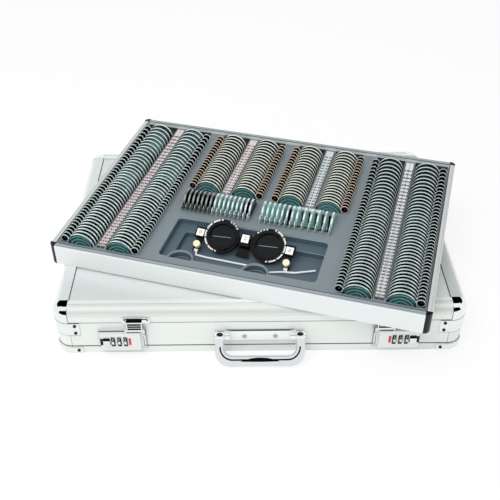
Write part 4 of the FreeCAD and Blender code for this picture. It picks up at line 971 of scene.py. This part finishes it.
class LENSCASE_OT_stage(bpy.types.Operator):
    """Sets the pale floor, the soft lamps and the camera"""
    bl_idname = "lenscase.stage"
    bl_label = "Stage"

    def execute(self, context):
        look = context.scene.lens_case_stage
        scene = context.scene
        scene.view_settings.view_transform = "Standard"

        material = bpy.data.materials.new("studio_floor")
        material.use_nodes = True
        graph = Graph(material.node_tree)
        graph.tree.nodes.clear()
        seen = graph.node("ShaderNodeLightPath")
        shown = graph.out(seen, "Is Camera Ray") + graph.out(seen, "Is Glossy Ray") \
            + graph.out(seen, "Is Transmission Ray")
        plain = graph.node("ShaderNodeBsdfDiffuse", None, {"Color": rgba(look.floor)})
        glow = graph.node("ShaderNodeEmission", None, {"Color": (1, 1, 1, 1), "Strength": 1.0})
        mixed = graph.node("ShaderNodeMixShader", None, {
            0: shown.math("MINIMUM", 1.0) * 0.8, 1: plain.outputs[0], 2: glow.outputs[0]})
        graph.node("ShaderNodeOutputMaterial", None, {0: mixed.outputs[0]})
        shape = bmesh.new()
        bmesh.ops.create_grid(shape, x_segments=1, y_segments=1, size=30)
        mesh = bpy.data.meshes.new("studio_floor")
        shape.to_mesh(mesh)
        shape.free()
        mesh.materials.append(material)
        floor = bpy.data.objects.new("studio_floor", mesh)
        floor.location.z = -0.0002
        scene.collection.objects.link(floor)

        world = bpy.data.worlds.new("studio_world")
        world.use_nodes = True
        graph = Graph(world.node_tree)
        graph.tree.nodes.clear()
        seen = graph.node("ShaderNodeLightPath")
        shown = (graph.out(seen, "Is Camera Ray") + graph.out(seen, "Is Glossy Ray")
                 + graph.out(seen, "Is Transmission Ray")).math("MINIMUM", 1.0)
        strength = shown + (1 - shown) * look.world_light
        sky = graph.node("ShaderNodeBackground", None, {"Color": (1, 1, 1, 1), "Strength": strength})
        graph.node("ShaderNodeOutputWorld", None, {0: sky.outputs[0]})
        scene.world = world

        dark = bpy.data.materials.new("studio_flag")
        dark.use_nodes = True
        graph = Graph(dark.node_tree)
        graph.tree.nodes.clear()
        dull = graph.node("ShaderNodeEmission", None, {"Color": (0, 0, 0, 1), "Strength": 0.0})
        graph.node("ShaderNodeOutputMaterial", None, {0: dull.outputs[0]})
        for k, (height, forth, wide, deep, tip) in enumerate((
                (1.9, 1.3, 7.0, 1.9, 0), (1.1, -1.75, 7.0, 2.1, 90))):
            shape = bmesh.new()
            bmesh.ops.create_grid(shape, x_segments=1, y_segments=1, size=0.5)
            mesh = bpy.data.meshes.new("studio_flag_%d" % k)
            shape.to_mesh(mesh)
            shape.free()
            mesh.materials.append(dark)
            flag = bpy.data.objects.new("studio_flag_%d" % k, mesh)
            flag.location = (0, forth, height)
            flag.scale = (wide, deep, 1)
            flag.rotation_euler.x = math.radians(tip)
            flag.visible_camera = False
            flag.visible_diffuse = False
            flag.visible_transmission = False
            flag.visible_shadow = False
            scene.collection.objects.link(flag)

        lamp = bpy.data.lights.new("studio_key", "AREA")
        lamp.shape = "RECTANGLE"
        lamp.size = 1.6
        lamp.size_y = 1.2
        lamp.energy = look.key_light
        key = bpy.data.objects.new("studio_key", lamp)
        key.location = (-0.7, -0.9, 1.9)
        key.rotation_euler = (Vector((0, 0, 0)) - key.location).to_track_quat("-Z", "Y").to_euler()
        key.visible_glossy = False
        scene.collection.objects.link(key)

        data = bpy.data.cameras.new("studio_camera")
        data.sensor_width = 36
        data.lens = look.focal
        data.shift_x = (250 - 244.872) / 500
        data.shift_y = (251.207 - 250) / 500
        data.clip_start = 0.01
        data.clip_end = 100
        camera = bpy.data.objects.new("studio_camera", data)
        level = Matrix.Rotation(look.yaw, 4, "Z") @ Matrix.Rotation(math.pi / 2 - look.pitch, 4, "X")
        turned = level @ Matrix.Rotation(look.roll, 4, "Z")
        target = Vector((-0.018242, -0.017635, 0.03))
        camera.matrix_world = Matrix.Translation(target) @ turned @ Matrix.Translation((0, 0, look.far))
        scene.collection.objects.link(camera)
        scene.camera = camera
        return {"FINISHED"}


class LENSCASE_PT_build(bpy.types.Panel):
    """Lists the case's sizes, colours and operators"""
    bl_label = "Trial lens case"
    bl_idname = "LENSCASE_PT_build"
    bl_space_type = "VIEW_3D"
    bl_region_type = "UI"
    bl_category = "Lens Case"

    def draw(self, context):
        for title, key, operators in GROUPS:
            block = self.layout.box()
            block.label(text=title)
            look = getattr(context.scene, key)
            for name in look.__annotations__:
                block.prop(look, name)
            for operator in operators:
                block.operator(operator.bl_idname)


GROUPS = (
    ("Case", "lens_case_shell", (LENSCASE_OT_shell, LENSCASE_OT_locks, LENSCASE_OT_handle)),
    ("Tray", "lens_case_tray", (LENSCASE_OT_tray, LENSCASE_OT_numbers, LENSCASE_OT_lenses)),
    ("Trial frame", "lens_case_frame", (LENSCASE_OT_trial_frame,)),
    ("Stage", "lens_case_stage", (LENSCASE_OT_stage,)),
)
LOOKS = (ShellLook, TrayLook, TrialFrameLook, StageLook)


def register():
    for (title, key, operators), look in zip(GROUPS, LOOKS):
        bpy.utils.register_class(look)
        setattr(bpy.types.Scene, key, bpy.props.PointerProperty(type=look))
        for operator in operators:
            bpy.utils.register_class(operator)
    bpy.utils.register_class(LENSCASE_PT_build)


def unregister():
    bpy.utils.unregister_class(LENSCASE_PT_build)
    for (title, key, operators), look in reversed(list(zip(GROUPS, LOOKS))):
        for operator in operators:
            bpy.utils.unregister_class(operator)
        delattr(bpy.types.Scene, key)
        bpy.utils.unregister_class(look)


def main():
    register()
    for title, key, operators in GROUPS:
        for operator in operators:
            family, name = operator.bl_idname.split(".")
            getattr(getattr(bpy.ops, family), name)()


if __name__ == "__main__":
    main()
